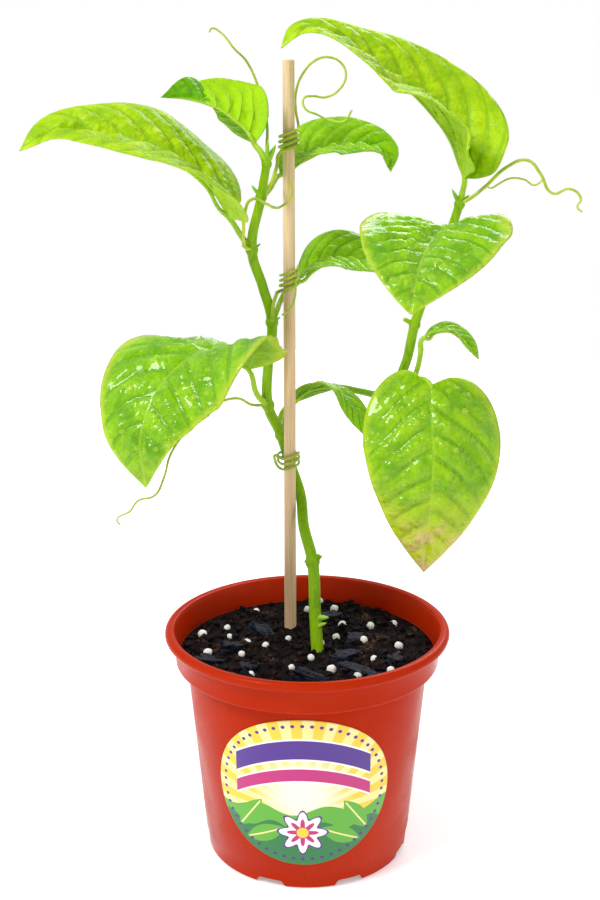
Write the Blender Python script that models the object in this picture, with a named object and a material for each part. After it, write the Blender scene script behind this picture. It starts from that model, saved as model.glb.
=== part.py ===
"""A passion flower vine on a bamboo stake, in a round plastic nursery pot.

Everything is modelled at its real size in metres, +Z up. The origin is the centre of the
pot's flat underside, the viewer's side of the pot is -Y, and +X is to the viewer's right.
"""

import math
import random
from collections.abc import Sequence
from dataclasses import dataclass

import bmesh
import bpy
from mathutils import Matrix, Vector, noise

MM = 0.001
WELD = 1e-6
TOUCH_GAP = 0.3 * MM
SEED = 7

# Pot: a 13 cm nursery pot
POT_SIDES = 48
POT_HEIGHT = 108 * MM
POT_LIP_RADIUS = 65 * MM
POT_LIP_HEIGHT = 4.6 * MM
POT_COLLAR_TOP_RADIUS = 61.2 * MM
POT_COLLAR_BOTTOM_RADIUS = 60.2 * MM
POT_COLLAR_BOTTOM = 91.5 * MM
POT_STEP_TOP = 94.4 * MM
POT_BODY_TOP_RADIUS = 55.2 * MM
POT_SKIRT_TOP = 9.5 * MM
POT_BODY_BOTTOM_RADIUS = 47.8 * MM
POT_SKIRT_STEP = 0.5 * MM
POT_BASE_RADIUS = 46.6 * MM
POT_WALL = 1.4 * MM
POT_FLOOR = 1.6 * MM

# Drain notches through the corner between the wall and the floor
NOTCH_AZIMUTHS = (-21, 24, 69, 159, 204, 249)
NOTCH_WIDTH = 15.5 * MM
NOTCH_TOP_WIDTH = 11.5 * MM
NOTCH_HEIGHT = 3.2 * MM
NOTCH_INNER_RADIUS = 42 * MM
NOTCH_OUTER_RADIUS = 54 * MM

# Round sticker on the front of the pot
LABEL_WIDTH = 82 * MM
LABEL_HEIGHT = 73.5 * MM
LABEL_CENTRE_HEIGHT = 50.2 * MM
LABEL_TURN = -2.3
LABEL_THICKNESS = 0.6 * MM
LABEL_GRID = (12, 10)

# Potting mix
SOIL_TOP = 96 * MM
SOIL_TOP_RADIUS = 58.2 * MM
SOIL_ROUGHNESS = 2.2 * MM
SOIL_RINGS = 7
SOIL_SIDES = 40
PERLITE_COUNT = 30
PERLITE_RADII = (1.5 * MM, 2.3 * MM)
PERLITE_REACH = 52 * MM
CHIP_SIZE = (9 * MM, 5 * MM, 3.2 * MM)
CHIP_LEAN = 12
# Where each chip lies and how far it is turned: millimetres, millimetres, degrees
CHIP_PLACES = (
    (18, -12, 20),
    (22, -29, -35),
    (-26, -24, 65),
    (-31, -41, -20),
    (31, -36, 15),
    (24, 8, 30),
    (-34, -2, 40),
)
CLEAR_OF_STEM = 8 * MM
SOIL_HOLE_BOTTOM = 44 * MM
HOLE_BELOW_STEM = 4 * MM
HOLE_ABOVE_SOIL = 30 * MM
STEM_HOLE_CLEARANCE = 0.6 * MM
STAKE_HOLE_CLEARANCE = 0.4 * MM

# Bamboo stake
STAKE_X = -8 * MM
STAKE_Y = 22 * MM
STAKE_BASE_RADIUS = 2.85 * MM
STAKE_TOP_RADIUS = 2.55 * MM
STAKE_BOTTOM = 46 * MM
STAKE_TOP = 357 * MM
STAKE_SIDES = 16

# Leaf blade
BLADE_THICKNESS = 0.7 * MM
BLADE_ROWS = 13
BLADE_COLUMNS = 6
# Half of the flat outline, from the petiole to the tip, as shares of the length and the half width
HEART = (
    (0, 0), (-1, 0.32), (-0.6, 0.64), (0.08, 0.90), (0.27, 1.0),
    (0.5, 0.88), (0.72, 0.6), (0.88, 0.28), (1, 0),
)
WEDGE = (
    (0, 0), (0.07, 0.28), (0.15, 0.6), (0.25, 0.86), (0.37, 1.0),
    (0.55, 0.9), (0.74, 0.6), (0.89, 0.28), (1, 0),
)
SPINE_STEPS = 60
VEIN_PAIRS = 6
VEIN_LEAN = 0.2
PETIOLE_RADIUS = 1.25 * MM
MIDRIB_RADIUS = 0.75 * MM
MIDRIB_END_RADIUS = 0.53 * MM
STUB_LENGTH = 5 * MM
STUB_BASE_RADIUS = 1.56 * MM
STUB_END_RADIUS = 1.38 * MM
STRAIGHT_START = 1 * MM
STUB_CLEAR = 2 * MM

# Tendrils
TENDRIL_RADIUS = 0.62 * MM
THIN_TENDRIL_RADIUS = 0.5 * MM
BRANCH_RADIUS = 0.4 * MM
TENDRIL_STUB = 3.5 * MM
TENDRIL_STUB_BASE_RADIUS = 1.1 * MM
TENDRIL_STUB_END_RADIUS = 0.9 * MM
CUT_STUB_BASE_RADIUS = 1.2 * MM
CUT_STUB_END_RADIUS = 1 * MM
COIL_STEPS = 8
COIL_TILT = 1.2 * MM


def mm(x: float, y: float, z: float) -> Vector:
    """Return a point given in millimetres as a vector in metres."""
    return Vector((x, y, z)) * MM


# Nodes of the vine, from the soil to the top, and those of its side shoot
MAIN_STEM = (
    (mm(7.8, -20, 50), 2.9 * MM),
    (mm(5.8, -11.4, 80), 2.9 * MM),
    (mm(5, -8, 92), 2.9 * MM),
    (mm(3.6, -2, 113), 2.8 * MM),
    (mm(2.4, 6, 136), 2.7 * MM),
    (mm(-1.6, 15, 150), 2.6 * MM),
    (mm(-3.2, 25.8, 162), 2.5 * MM),
    (mm(-8.8, 30.5, 178), 2.4 * MM),
    (mm(-12.5, 28, 191), 2.5 * MM),
    (mm(-17.8, 20, 206.2), 2.4 * MM),
    (mm(-17.5, 16.5, 226), 2.3 * MM),
    (mm(-15.6, 14, 245.4), 2.3 * MM),
    (mm(-19.5, 10, 262), 2.2 * MM),
    (mm(-23.8, 6, 278.2), 2.2 * MM),
    (mm(-19.5, 2, 301.1), 2.0 * MM),
    (mm(-17, 0, 315), 1.8 * MM),
)
SIDE_SHOOT = (
    (mm(-10.5, 30, 184), 1.5 * MM),
    (mm(-10.5, 38, 189.5), 1.5 * MM),
    (mm(-9.5, 46, 196.5), 1.5 * MM),
    (mm(-4, 51.5, 202), 1.5 * MM),
    (mm(5, 54, 205.5), 1.5 * MM),
    (mm(15, 54, 206.5), 1.5 * MM),
    (mm(25, 50, 205.5), 1.6 * MM),
    (mm(33, 40, 206.5), 1.8 * MM),
    (mm(39, 29, 212.5), 2.0 * MM),
    (mm(44, 20, 225), 2.2 * MM),
    (mm(48, 15, 246), 2.2 * MM),
    (mm(55, 9, 268), 2.1 * MM),
    (mm(62, 4.5, 289), 2.0 * MM),
    (mm(64.5, 3, 298), 1.9 * MM),
)
STEM_FOOT = MAIN_STEM[2][0]
NODE_LOW = mm(2.4, 6, 136)
NODE_BEHIND = mm(-12, 28.5, 190)
NODE_TWO = mm(-17.8, 20, 206.2)
NODE_THREE = mm(-15.6, 14, 245.4)
NODE_FOUR = mm(-23.8, 6, 278.2)
NODE_FIVE = mm(-19.5, 2, 301.1)
NODE_TOP = mm(-17, 0, 315)
NODE_SHOOT_LOW = mm(39, 29, 212.5)
NODE_SHOOT_MID = mm(47.5, 15.5, 244)
NODE_SHOOT_DRAPED = mm(60.5, 5.5, 284.5)
NODE_SHOOT_TOP = mm(64.5, 3, 298)
NODE_SWELL = 1.28
SWELL_SQUASH = 0.8
SWELLS = (
    (NODE_LOW, 2.7 * MM),
    (NODE_BEHIND, 2.5 * MM),
    (NODE_TWO, 2.4 * MM),
    (NODE_THREE, 2.3 * MM),
    (NODE_FOUR, 2.2 * MM),
    (NODE_FIVE, 2.0 * MM),
    (NODE_TOP, 1.8 * MM),
    (NODE_SHOOT_LOW, 2.0 * MM),
    (NODE_SHOOT_MID, 2.1 * MM),
    (NODE_SHOOT_DRAPED, 2.0 * MM),
    (NODE_SHOOT_TOP, 1.9 * MM),
)


@dataclass
class Leaf:
    """One leaf: where its petiole leaves the vine and how its blade hangs.

    The lifts are degrees by which each half rises from the midrib towards the upper side, at
    the base, the middle and the tip. Right is to the right of someone walking from the
    petiole to the tip on the upper side.
    """

    name: str
    node: Vector
    petiole: tuple
    midrib: tuple
    half_width: float
    facing: tuple
    lift_right: tuple
    lift_left: tuple
    curl_right: float = 0.0
    curl_left: float = 0.0
    lobe_right: float = 0.05
    lobe_left: float = 0.05
    quilt: float = 0.5 * MM
    wave: float = 0.6 * MM
    outline: tuple = HEART
    width_left: float = 1.0
    width_right: float = 1.0


@dataclass
class Tendril:
    """One tendril: where it leaves the vine, and the points that it passes through."""

    name: str
    node: Vector
    route: tuple
    radius: float = TENDRIL_RADIUS


LEAVES = (
    Leaf(
        "leaf_top_right", NODE_SHOOT_TOP,
        (mm(65.5, 1.5, 303.5),),
        (
            mm(66, 0, 309), mm(63, 3, 320), mm(56, 5, 331), mm(45, 5, 343),
            mm(26, 1, 357), mm(8, -5, 367), mm(-3.5, -9, 368), mm(-10.5, -12, 361.5),
        ),
        27 * MM, (Vector((0, -0.25, 1)), Vector((0, -0.1, 1))), (68, 47, 22), (75, -8, 0),
        curl_right=-20, lobe_right=0.02, lobe_left=0.0, width_right=0.92,
    ),
    Leaf(
        "leaf_left", NODE_FOUR,
        (mm(-28, 5, 284),),
        (
            mm(-33, 3, 292), mm(-42, -1, 306), mm(-59, -8, 320), mm(-78, -14, 327),
            mm(-101, -20, 329), mm(-115, -26, 322),
        ),
        29 * MM, (Vector((0, -0.1, 1)), Vector((0, 0, 1))), (36, 38, 38), (12, -10, -10),
        curl_right=-12, lobe_right=0.0, lobe_left=0.0,
    ),
    Leaf(
        "leaf_top_left", NODE_TOP,
        (mm(-19.5, 0, 320),),
        (
            mm(-22, 1, 323), mm(-25, 3, 328), mm(-31, 5, 333), mm(-39, 7, 338),
            mm(-50, 7, 341), mm(-61, 5, 342),
        ),
        21 * MM, (Vector((0, 1, 0)), Vector((0, 1, 0.2))), (75, 68, 195), (0, 55, 80),
        outline=WEDGE, width_right=0.95, quilt=0.3 * MM, wave=0.3 * MM,
    ),
    Leaf(
        "leaf_upper_behind", NODE_FIVE,
        (mm(-16, 10, 304), mm(-14.5, 20, 306)),
        (
            mm(-12, 29, 308), mm(-4, 34, 313), mm(10, 38, 319), mm(23, 38, 320),
            mm(34, 36, 317), mm(37, 34, 309),
        ),
        20 * MM, (Vector((0, 0, 1)), Vector((0.2, 0, 1))), (35, -8, 0), (25, 38, 70),
        outline=WEDGE,
    ),
    Leaf(
        "leaf_middle_behind", NODE_THREE,
        (mm(-13.5, 20, 249.5), mm(-12, 27, 252.5), mm(-9, 32, 257)),
        (
            mm(-5.5, 34, 260), mm(1.5, 35, 264.5), mm(10, 36, 269), mm(20, 36, 270),
            mm(32, 34, 266), mm(40, 31, 260),
        ),
        20 * MM, (Vector((0, 0, 1)), Vector((0.2, 0, 1))), (30, -8, 0), (22, 34, 30),
        outline=WEDGE,
    ),
    Leaf(
        "leaf_right_wet", NODE_SHOOT_DRAPED,
        (mm(59, 1, 288),),
        (
            mm(57, -6, 289.3), mm(52.5, -17, 287), mm(47, -34, 282), mm(43, -49, 275),
            mm(41, -56, 268), mm(40, -61, 262),
        ),
        30 * MM, (Vector((0, 0, 1)), Vector((0, -0.6, 1))), (12, 11, 0), (15, 9, 0),
        width_left=1.12,
    ),
    Leaf(
        "leaf_heart", NODE_SHOOT_LOW,
        (mm(41, 17, 212), mm(47.5, 5, 221.5)),
        (
            mm(53.5, -4, 221), mm(53.5, -13, 209), mm(54, -20, 194), mm(53.5, -22, 178),
            mm(52.5, -20, 160), mm(51.5, -14, 138.5),
        ),
        30.5 * MM, (Vector((0, -1, 0.3)), Vector((0, -1, 0))), (-8, -6, -8), (-8, -6, -8),
        curl_right=-10, curl_left=-10, lobe_right=0.09, lobe_left=0.05,
    ),
    Leaf(
        "leaf_folded", NODE_BEHIND,
        (mm(-13, 33, 195),),
        (
            mm(-9, 36.5, 202), mm(-3, 38.5, 207), mm(5, 39, 210), mm(12, 37.5, 210.5),
            mm(19, 35.5, 204.5), mm(26, 32.5, 195), mm(33, 30, 184),
        ),
        12.5 * MM, (Vector((0, 0.7, 0.75)), Vector((0.7, -0.8, 0.5))), (0, 0, 0), (0, 0, 0),
        outline=WEDGE, quilt=0.3 * MM, wave=0.3 * MM,
    ),
    Leaf(
        "leaf_left_wet", NODE_TWO,
        (mm(-22.7, 12, 213.5),),
        (
            mm(-26, 9, 225), mm(-36, 4, 234), mm(-50, -8, 234), mm(-63, -20, 223),
            mm(-69, -28, 209), mm(-70, -32, 197), mm(-68, -32, 183),
        ),
        35 * MM, (Vector((0, -0.3, 1)), Vector((-0.3, -1, 0.2))), (-26, -8, -10), (60, 6, 0),
        lobe_right=0.0, lobe_left=0.02,
    ),
    Leaf(
        "leaf_small_right", NODE_SHOOT_LOW,
        (mm(46.5, 26.5, 214), mm(49.5, 20, 223), mm(50.5, 16, 231)),
        (mm(51.5, 15, 238), mm(57, 15, 241), mm(64, 15, 241), mm(70, 14, 236), mm(76, 12, 229)),
        8 * MM, (Vector((0, 0, 1)), Vector((0, 0, 1))), (10, 10, 0), (15, 20, 60),
        outline=WEDGE, quilt=0.2 * MM, wave=0.2 * MM,
    ),
)

TENDRILS = (
    Tendril(
        "tendril_top_thin", NODE_TOP,
        (
            mm(-17, 4.5, 320.5), mm(-17.5, 17, 333), mm(-20.5, 21, 344.5), mm(-25.5, 18.5, 356),
            mm(-30.5, 11, 361.5), mm(-36, 9, 368), mm(-39.5, 8, 369.5), mm(-40.5, 7, 368),
        ),
        radius=THIN_TENDRIL_RADIUS,
    ),
    Tendril(
        "tendril_hook", NODE_FOUR,
        (
            mm(-26.8, -1, 281.2), mm(-26.8, -4, 288), mm(-26.2, -4.5, 295), mm(-23, -5.5, 301),
            mm(-17.5, -4.5, 299), mm(-14, 4, 296.5), mm(-10.5, 13, 296.5), mm(-7.5, 15.5, 299),
            mm(-6.5, 15.7, 303), mm(-8, 15.5, 307),
        ),
    ),
    Tendril(
        "tendril_hanging", NODE_TWO,
        (
            mm(-25, 17.5, 207), mm(-31, 13, 211), mm(-39, 9, 210), mm(-50, 4, 202),
            mm(-60, -4, 190), mm(-63, -8, 180), mm(-67, -11, 173), mm(-74, -12, 171),
            mm(-78, -12, 166), mm(-83.5, -13, 162.5), mm(-82, -14, 160.5),
        ),
        radius=THIN_TENDRIL_RADIUS,
    ),
    Tendril(
        "tendril_right_long", NODE_SHOOT_TOP,
        (
            mm(69, 0, 301), mm(75, -1, 306), mm(83, -4, 314), mm(91, -6, 317),
            mm(96, -10, 312), mm(101, -12, 304), mm(108, -15, 306), mm(112, -17, 302),
            mm(110.5, -18, 299), mm(112.5, -18, 297),
        ),
    ),
)
SMALL_STUBS = ((NODE_SHOOT_MID, mm(42.5, 12.5, 247)), (NODE_LOW, mm(5.5, 4, 140)))
STUB_RADII = (STUB_BASE_RADIUS, STUB_END_RADIUS)
TENDRIL_STUB_RADII = (TENDRIL_STUB_BASE_RADIUS, TENDRIL_STUB_END_RADIUS)
CUT_STUB_RADII = (CUT_STUB_BASE_RADIUS, CUT_STUB_END_RADIUS)
THIN_BRANCH = (
    mm(77.5, 0.6, 305), mm(80, 0, 306.5), mm(85, 0, 309),
    mm(91, -1, 308.6), mm(95, -3, 306.5), mm(98.5, -4, 309),
)


def clear_scene() -> None:
    """Remove every object of the open scene."""
    for old in list(bpy.data.objects):
        bpy.data.objects.remove(old, do_unlink=True)


def material(name: str, colour: tuple, roughness: float) -> bpy.types.Material:
    """Return a plain Principled material."""
    made = bpy.data.materials.new(name)
    made.use_nodes = True
    shader = made.node_tree.nodes["Principled BSDF"]
    shader.inputs["Base Color"].default_value = (*colour, 1)
    shader.inputs["Roughness"].default_value = roughness
    made.diffuse_color = (*colour, 1)
    return made


def add_object(
    name: str, shape: bmesh.types.BMesh, finish: bpy.types.Material | None = None
) -> bpy.types.Object:
    """Make a scene object of a bmesh and free the bmesh."""
    bmesh.ops.recalc_face_normals(shape, faces=shape.faces)
    data = bpy.data.meshes.new(name)
    shape.to_mesh(data)
    shape.free()
    made = bpy.data.objects.new(name, data)
    bpy.context.scene.collection.objects.link(made)
    if finish:
        data.materials.append(finish)
    return made


def bake(obj: bpy.types.Object) -> bpy.types.Object:
    """Replace an object's mesh by what its modifiers make of it."""
    graph = bpy.context.evaluated_depsgraph_get()
    graph.update()
    made = bpy.data.meshes.new_from_object(obj.evaluated_get(graph))
    obj.modifiers.clear()
    obj.data = made
    return obj


def fuse(name: str, parts: list, finish: bpy.types.Material) -> bpy.types.Object:
    """Join closed parts into one body with a single Boolean union."""
    group = bpy.data.collections.new(name + "_parts")
    bpy.context.scene.collection.children.link(group)
    whole = parts[0]
    for part in parts[1:]:
        bpy.context.scene.collection.objects.unlink(part)
        group.objects.link(part)
    union = whole.modifiers.new("Join", "BOOLEAN")
    union.operation = "UNION"
    union.operand_type = "COLLECTION"
    union.collection = group
    union.solver = "EXACT"
    bake(whole)
    for part in parts[1:]:
        bpy.data.objects.remove(part, do_unlink=True)
    bpy.data.collections.remove(group)
    whole.name = name
    whole.data.name = name
    whole.data.materials.clear()
    whole.data.materials.append(finish)
    return whole


def tube(
    name: str, points: Sequence, radii: Sequence, steps: int = 3, round_steps: int = 1
) -> bpy.types.Object:
    """Make a closed tube through points, with a radius at each and flat ends."""
    curve = bpy.data.curves.new(name, "CURVE")
    curve.dimensions = "3D"
    curve.bevel_depth = 1.0
    curve.bevel_resolution = round_steps
    curve.resolution_u = steps
    curve.use_fill_caps = True
    spline = curve.splines.new("BEZIER")
    spline.bezier_points.add(len(points) - 1)
    for knot, place, radius in zip(spline.bezier_points, points, radii):
        knot.co = place
        knot.radius = radius
        knot.handle_left_type = "AUTO"
        knot.handle_right_type = "AUTO"
    holder = bpy.data.objects.new(name, curve)
    bpy.context.scene.collection.objects.link(holder)
    bpy.context.view_layer.update()
    graph = bpy.context.evaluated_depsgraph_get()
    skin = bpy.data.meshes.new_from_object(holder.evaluated_get(graph))
    bpy.data.objects.remove(holder, do_unlink=True)
    shape = bmesh.new()
    shape.from_mesh(skin)
    bpy.data.meshes.remove(skin)
    bmesh.ops.remove_doubles(shape, verts=shape.verts, dist=WELD)
    bmesh.ops.triangulate(shape, faces=shape.faces)
    return add_object(name, shape)


def ball(name: str, centre: Vector, radius: float, squash: float = 1.0) -> bpy.types.Object:
    """Make a small faceted round body, squashed along the Z axis."""
    shape = bmesh.new()
    bmesh.ops.create_icosphere(shape, subdivisions=1, radius=radius)
    bmesh.ops.scale(shape, vec=(1, 1, squash), verts=shape.verts)
    bmesh.ops.translate(shape, vec=centre, verts=shape.verts)
    return add_object(name, shape)


def turned(name: str, profile: list, sides: int) -> bpy.types.Object:
    """Turn a closed profile of (radius, height) points about the Z axis."""
    shape = bmesh.new()
    corners = [shape.verts.new((radius, 0, height)) for radius, height in profile]
    edges = [shape.edges.new(pair) for pair in zip(corners, corners[1:])]
    bmesh.ops.spin(
        shape, geom=corners + edges, axis=(0, 0, 1), cent=(0, 0, 0),
        steps=sides, angle=math.tau, use_duplicate=False,
    )
    bmesh.ops.remove_doubles(shape, verts=shape.verts, dist=WELD)
    return add_object(name, shape)


def wall_radius(height: float) -> float:
    """Return the outer radius of the pot's straight body at a height."""
    share = (height - POT_SKIRT_TOP) / (POT_COLLAR_BOTTOM - POT_SKIRT_TOP)
    return POT_BODY_BOTTOM_RADIUS + share * (POT_BODY_TOP_RADIUS - POT_BODY_BOTTOM_RADIUS)


def arc(centre: tuple, radius: float, start: float, stop: float, steps: int) -> list:
    """Return points of a circular arc in the profile's plane, angles in degrees."""
    turns = [math.radians(start + (stop - start) * i / steps) for i in range(steps + 1)]
    return [(centre[0] + radius * math.cos(t), centre[1] + radius * math.sin(t)) for t in turns]


def pot_outside() -> list:
    """Return the outer profile of the pot from the middle of its base to its lip."""
    corner = 1.6 * MM
    lip_round = POT_LIP_HEIGHT / 2
    collar_round = 1.8 * MM
    collar_centre = (POT_COLLAR_BOTTOM_RADIUS - collar_round, POT_COLLAR_BOTTOM + collar_round)
    return [
        (0, 0),
        *arc((POT_BASE_RADIUS - corner, corner), corner, -90, -5, 2),
        (POT_BODY_BOTTOM_RADIUS - POT_SKIRT_STEP, POT_SKIRT_TOP - 0.4 * MM),
        (POT_BODY_BOTTOM_RADIUS, POT_SKIRT_TOP + 0.3 * MM),
        (POT_BODY_TOP_RADIUS, POT_COLLAR_BOTTOM + 0.4 * MM),
        *arc(collar_centre, collar_round, -80, 0, 2),
        (POT_COLLAR_TOP_RADIUS, POT_HEIGHT - POT_LIP_HEIGHT),
        *arc((POT_LIP_RADIUS - lip_round, POT_HEIGHT - lip_round), lip_round, -75, 90, 4),
    ]


def pot_inside() -> list:
    """Return the inner profile of the pot from its lip down to the middle of its floor."""
    body = POT_BODY_TOP_RADIUS - POT_WALL
    return [
        (POT_COLLAR_TOP_RADIUS - POT_WALL + 1.2 * MM, POT_HEIGHT - 0.7 * MM),
        (POT_COLLAR_TOP_RADIUS - POT_WALL, POT_HEIGHT - 3.2 * MM),
        (POT_COLLAR_BOTTOM_RADIUS - POT_WALL, POT_STEP_TOP + 1.6 * MM),
        (POT_COLLAR_BOTTOM_RADIUS - POT_WALL - 1.4 * MM, POT_STEP_TOP),
        (body + 0.5 * MM, POT_STEP_TOP - 0.8 * MM),
        (body, POT_STEP_TOP - 2.4 * MM),
        (POT_BODY_BOTTOM_RADIUS - POT_SKIRT_STEP - POT_WALL, POT_SKIRT_TOP - 1 * MM),
        (POT_BASE_RADIUS - POT_WALL - 0.8 * MM, POT_FLOOR),
        (0, POT_FLOOR),
    ]


def notch_cutter(azimuth: float) -> bpy.types.Object:
    """Make the tapered block that cuts one drain notch, at an azimuth from the front."""
    shape = bmesh.new()
    bmesh.ops.create_cube(shape, size=1)
    depth = NOTCH_OUTER_RADIUS - NOTCH_INNER_RADIUS
    for corner in shape.verts:
        low = corner.co.z < 0
        width = NOTCH_WIDTH if low else NOTCH_TOP_WIDTH
        corner.co.x *= width
        corner.co.y = -(NOTCH_INNER_RADIUS + depth * (0.5 - corner.co.y))
        corner.co.z = -1 * MM if low else NOTCH_HEIGHT
    turn = Matrix.Rotation(math.radians(azimuth), 3, "Z")
    bmesh.ops.rotate(shape, matrix=turn, verts=shape.verts)
    return add_object(f"notch_{azimuth}", shape)


def make_pot() -> None:
    """Make the pot: one moulded wall with a rolled lip, a collar and drain notches."""
    plastic = material("terracotta_plastic", (0.62, 0.05, 0.012), 0.42)
    pot = turned("pot", pot_outside() + pot_inside(), POT_SIDES)
    pot.data.materials.append(plastic)
    cutters = bpy.data.collections.new("notches")
    bpy.context.scene.collection.children.link(cutters)
    for azimuth in NOTCH_AZIMUTHS:
        cutter = notch_cutter(azimuth)
        bpy.context.scene.collection.objects.unlink(cutter)
        cutters.objects.link(cutter)
    cut = pot.modifiers.new("Notches", "BOOLEAN")
    cut.operation = "DIFFERENCE"
    cut.operand_type = "COLLECTION"
    cut.collection = cutters
    bake(pot)
    for cutter in list(cutters.objects):
        bpy.data.objects.remove(cutter, do_unlink=True)
    bpy.data.collections.remove(cutters)
    pot.data.shade_smooth()
    pot.data.set_sharp_from_angle(angle=math.radians(35))


def make_label() -> None:
    """Make the sticker: a thin oval plate bent round the pot's body."""
    paper = material("coated_label_paper", (0.9, 0.6, 0.05), 0.35)
    shape = bmesh.new()
    bmesh.ops.create_grid(shape, x_segments=LABEL_GRID[0], y_segments=LABEL_GRID[1], size=1)
    for corner in shape.verts:
        across, up = corner.co.x, corner.co.y
        # The square grid is drawn into a disc, so that the rim is round and no corner is left
        flat_x = across * math.sqrt(1 - up * up / 2)
        flat_z = up * math.sqrt(1 - across * across / 2)
        height = LABEL_CENTRE_HEIGHT + flat_z * LABEL_HEIGHT / 2
        radius = wall_radius(height) + TOUCH_GAP
        turn = flat_x * LABEL_WIDTH / 2 / radius + math.radians(LABEL_TURN)
        corner.co = (radius * math.sin(turn), -radius * math.cos(turn), height)
    bmesh.ops.triangulate(shape, faces=shape.faces)
    label = add_object("label_sticker", shape, paper)
    facing = sum(face.normal.y for face in label.data.polygons) < 0
    thicken = label.modifiers.new("Thickness", "SOLIDIFY")
    thicken.thickness = LABEL_THICKNESS
    thicken.offset = 1 if facing else -1


def soil_profile() -> list:
    """Return the potting mix's profile, a touch inside the pot's wall, from base to top."""
    gap = POT_WALL + TOUCH_GAP + 0.1 * MM
    body = POT_BODY_TOP_RADIUS - gap - 0.2 * MM
    rings = [(SOIL_TOP_RADIUS * i / SOIL_RINGS, SOIL_TOP) for i in range(SOIL_RINGS, -1, -1)]
    return [
        (0, POT_FLOOR + TOUCH_GAP),
        (POT_BASE_RADIUS - gap - 1.2 * MM, POT_FLOOR + TOUCH_GAP),
        (POT_BODY_BOTTOM_RADIUS - POT_SKIRT_STEP - gap - 0.2 * MM, POT_SKIRT_TOP),
        (body, POT_STEP_TOP - 2.4 * MM),
        (body, POT_STEP_TOP - 0.2 * MM),
        (SOIL_TOP_RADIUS - 1.6 * MM, POT_STEP_TOP + 0.8 * MM),
        *rings,
    ]


def soil_height(x: float, y: float) -> float:
    """Return the height of the crumbly surface above its mean level."""
    place = Vector((x, y, 0))
    broad = noise.noise(place / (16 * MM) + Vector((3.1, 0, 0)))
    fine = noise.noise(place / (5.5 * MM) + Vector((0, 7.7, 0)))
    return SOIL_ROUGHNESS * (0.7 * broad + 0.5 * fine)


def chip(name: str, x: float, y: float, turn: float) -> bpy.types.Object:
    """Make one bark chip that lies half sunk in the soil."""
    shape = bmesh.new()
    bmesh.ops.create_cube(shape, size=1)
    for corner in shape.verts:
        taper = 0.75 if corner.co.x > 0 else 1.0
        corner.co.y *= taper
        corner.co.x += 0.12 * math.copysign(1, corner.co.y)
    bmesh.ops.scale(shape, vec=CHIP_SIZE, verts=shape.verts)
    lean = Matrix.Rotation(math.radians(CHIP_LEAN), 3, "Y")
    lean = Matrix.Rotation(math.radians(turn), 3, "Z") @ lean
    bmesh.ops.rotate(shape, matrix=lean, verts=shape.verts)
    place = Vector((x, y, SOIL_TOP + soil_height(x, y) + 0.3 * MM))
    bmesh.ops.translate(shape, vec=place, verts=shape.verts)
    return add_object(name, shape)


def make_soil() -> None:
    """Make the potting mix with its perlite and bark, and the holes for stem and stake."""
    earth = material("potting_mix", (0.012, 0.008, 0.008), 0.9)
    soil = turned("soil", soil_profile(), SOIL_SIDES)
    for corner in soil.data.vertices:
        if corner.co.z > SOIL_TOP - 0.1 * MM:
            rim = min(1, (SOIL_TOP_RADIUS - corner.co.xy.length) / (6 * MM))
            corner.co.z += soil_height(corner.co.x, corner.co.y) * (0.4 + 0.6 * rim)
    draw = random.Random(SEED)
    parts = [soil]
    for i in range(PERLITE_COUNT):
        reach = PERLITE_REACH * math.sqrt((i + 0.5) / PERLITE_COUNT)
        turn = i * math.radians(137.5) + draw.uniform(-0.3, 0.3)
        x, y = reach * math.cos(turn), reach * math.sin(turn)
        near_stem = math.hypot(x - STEM_FOOT.x, y - STEM_FOOT.y) < CLEAR_OF_STEM
        near_stake = math.hypot(x - STAKE_X, y - STAKE_Y) < CLEAR_OF_STEM
        if near_stem or near_stake:
            continue
        radius = draw.uniform(*PERLITE_RADII)
        centre = Vector((x, y, SOIL_TOP + soil_height(x, y) + 0.35 * radius))
        parts.append(ball(f"perlite_{i}", centre, radius))
    for i, (x, y, turn) in enumerate(CHIP_PLACES):
        parts.append(chip(f"chip_{i}", x * MM, y * MM, turn))
    soil = fuse("soil", parts, earth)
    holes = [stem_hole(), stake_hole()]
    for cutter in holes:
        cut = soil.modifiers.new("Hole", "BOOLEAN")
        cut.operation = "DIFFERENCE"
        cut.object = cutter
    bake(soil)
    for cutter in holes:
        bpy.data.objects.remove(cutter, do_unlink=True)


def stem_hole() -> bpy.types.Object:
    """Make the cutter for the plain hole in which the stem stands."""
    along = (MAIN_STEM[1][0] - MAIN_STEM[0][0]).normalized()
    low = MAIN_STEM[0][0] - along * HOLE_BELOW_STEM
    high = MAIN_STEM[1][0] + along * HOLE_ABOVE_SOIL
    radius = MAIN_STEM[0][1] + STEM_HOLE_CLEARANCE
    return tube("stem_hole", [low, high], [radius, radius], steps=1, round_steps=4)


def stake_hole() -> bpy.types.Object:
    """Make the cutter for the plain hole in which the stake stands."""
    radius = STAKE_BASE_RADIUS + STAKE_HOLE_CLEARANCE
    low = Vector((STAKE_X, STAKE_Y, SOIL_HOLE_BOTTOM))
    high = Vector((STAKE_X, STAKE_Y, SOIL_TOP + HOLE_ABOVE_SOIL))
    return tube("stake_hole", [low, high], [radius, radius], steps=1, round_steps=4)


def make_stake() -> None:
    """Make the straight bamboo stake, a little thinner at its top."""
    bamboo = material("bamboo", (0.78, 0.55, 0.30), 0.6)
    shape = bmesh.new()
    bmesh.ops.create_cone(
        shape, cap_ends=True, segments=STAKE_SIDES,
        radius1=STAKE_BASE_RADIUS, radius2=STAKE_TOP_RADIUS, depth=STAKE_TOP - STAKE_BOTTOM,
    )
    stake = add_object("stake", shape, bamboo)
    stake.location = (STAKE_X, STAKE_Y, (STAKE_TOP + STAKE_BOTTOM) / 2)


def toward(start: Vector, goal: Vector, length: float) -> Vector:
    """Return the point that lies a length from the start on the way to the goal."""
    return start + (goal - start).normalized() * length


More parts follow.
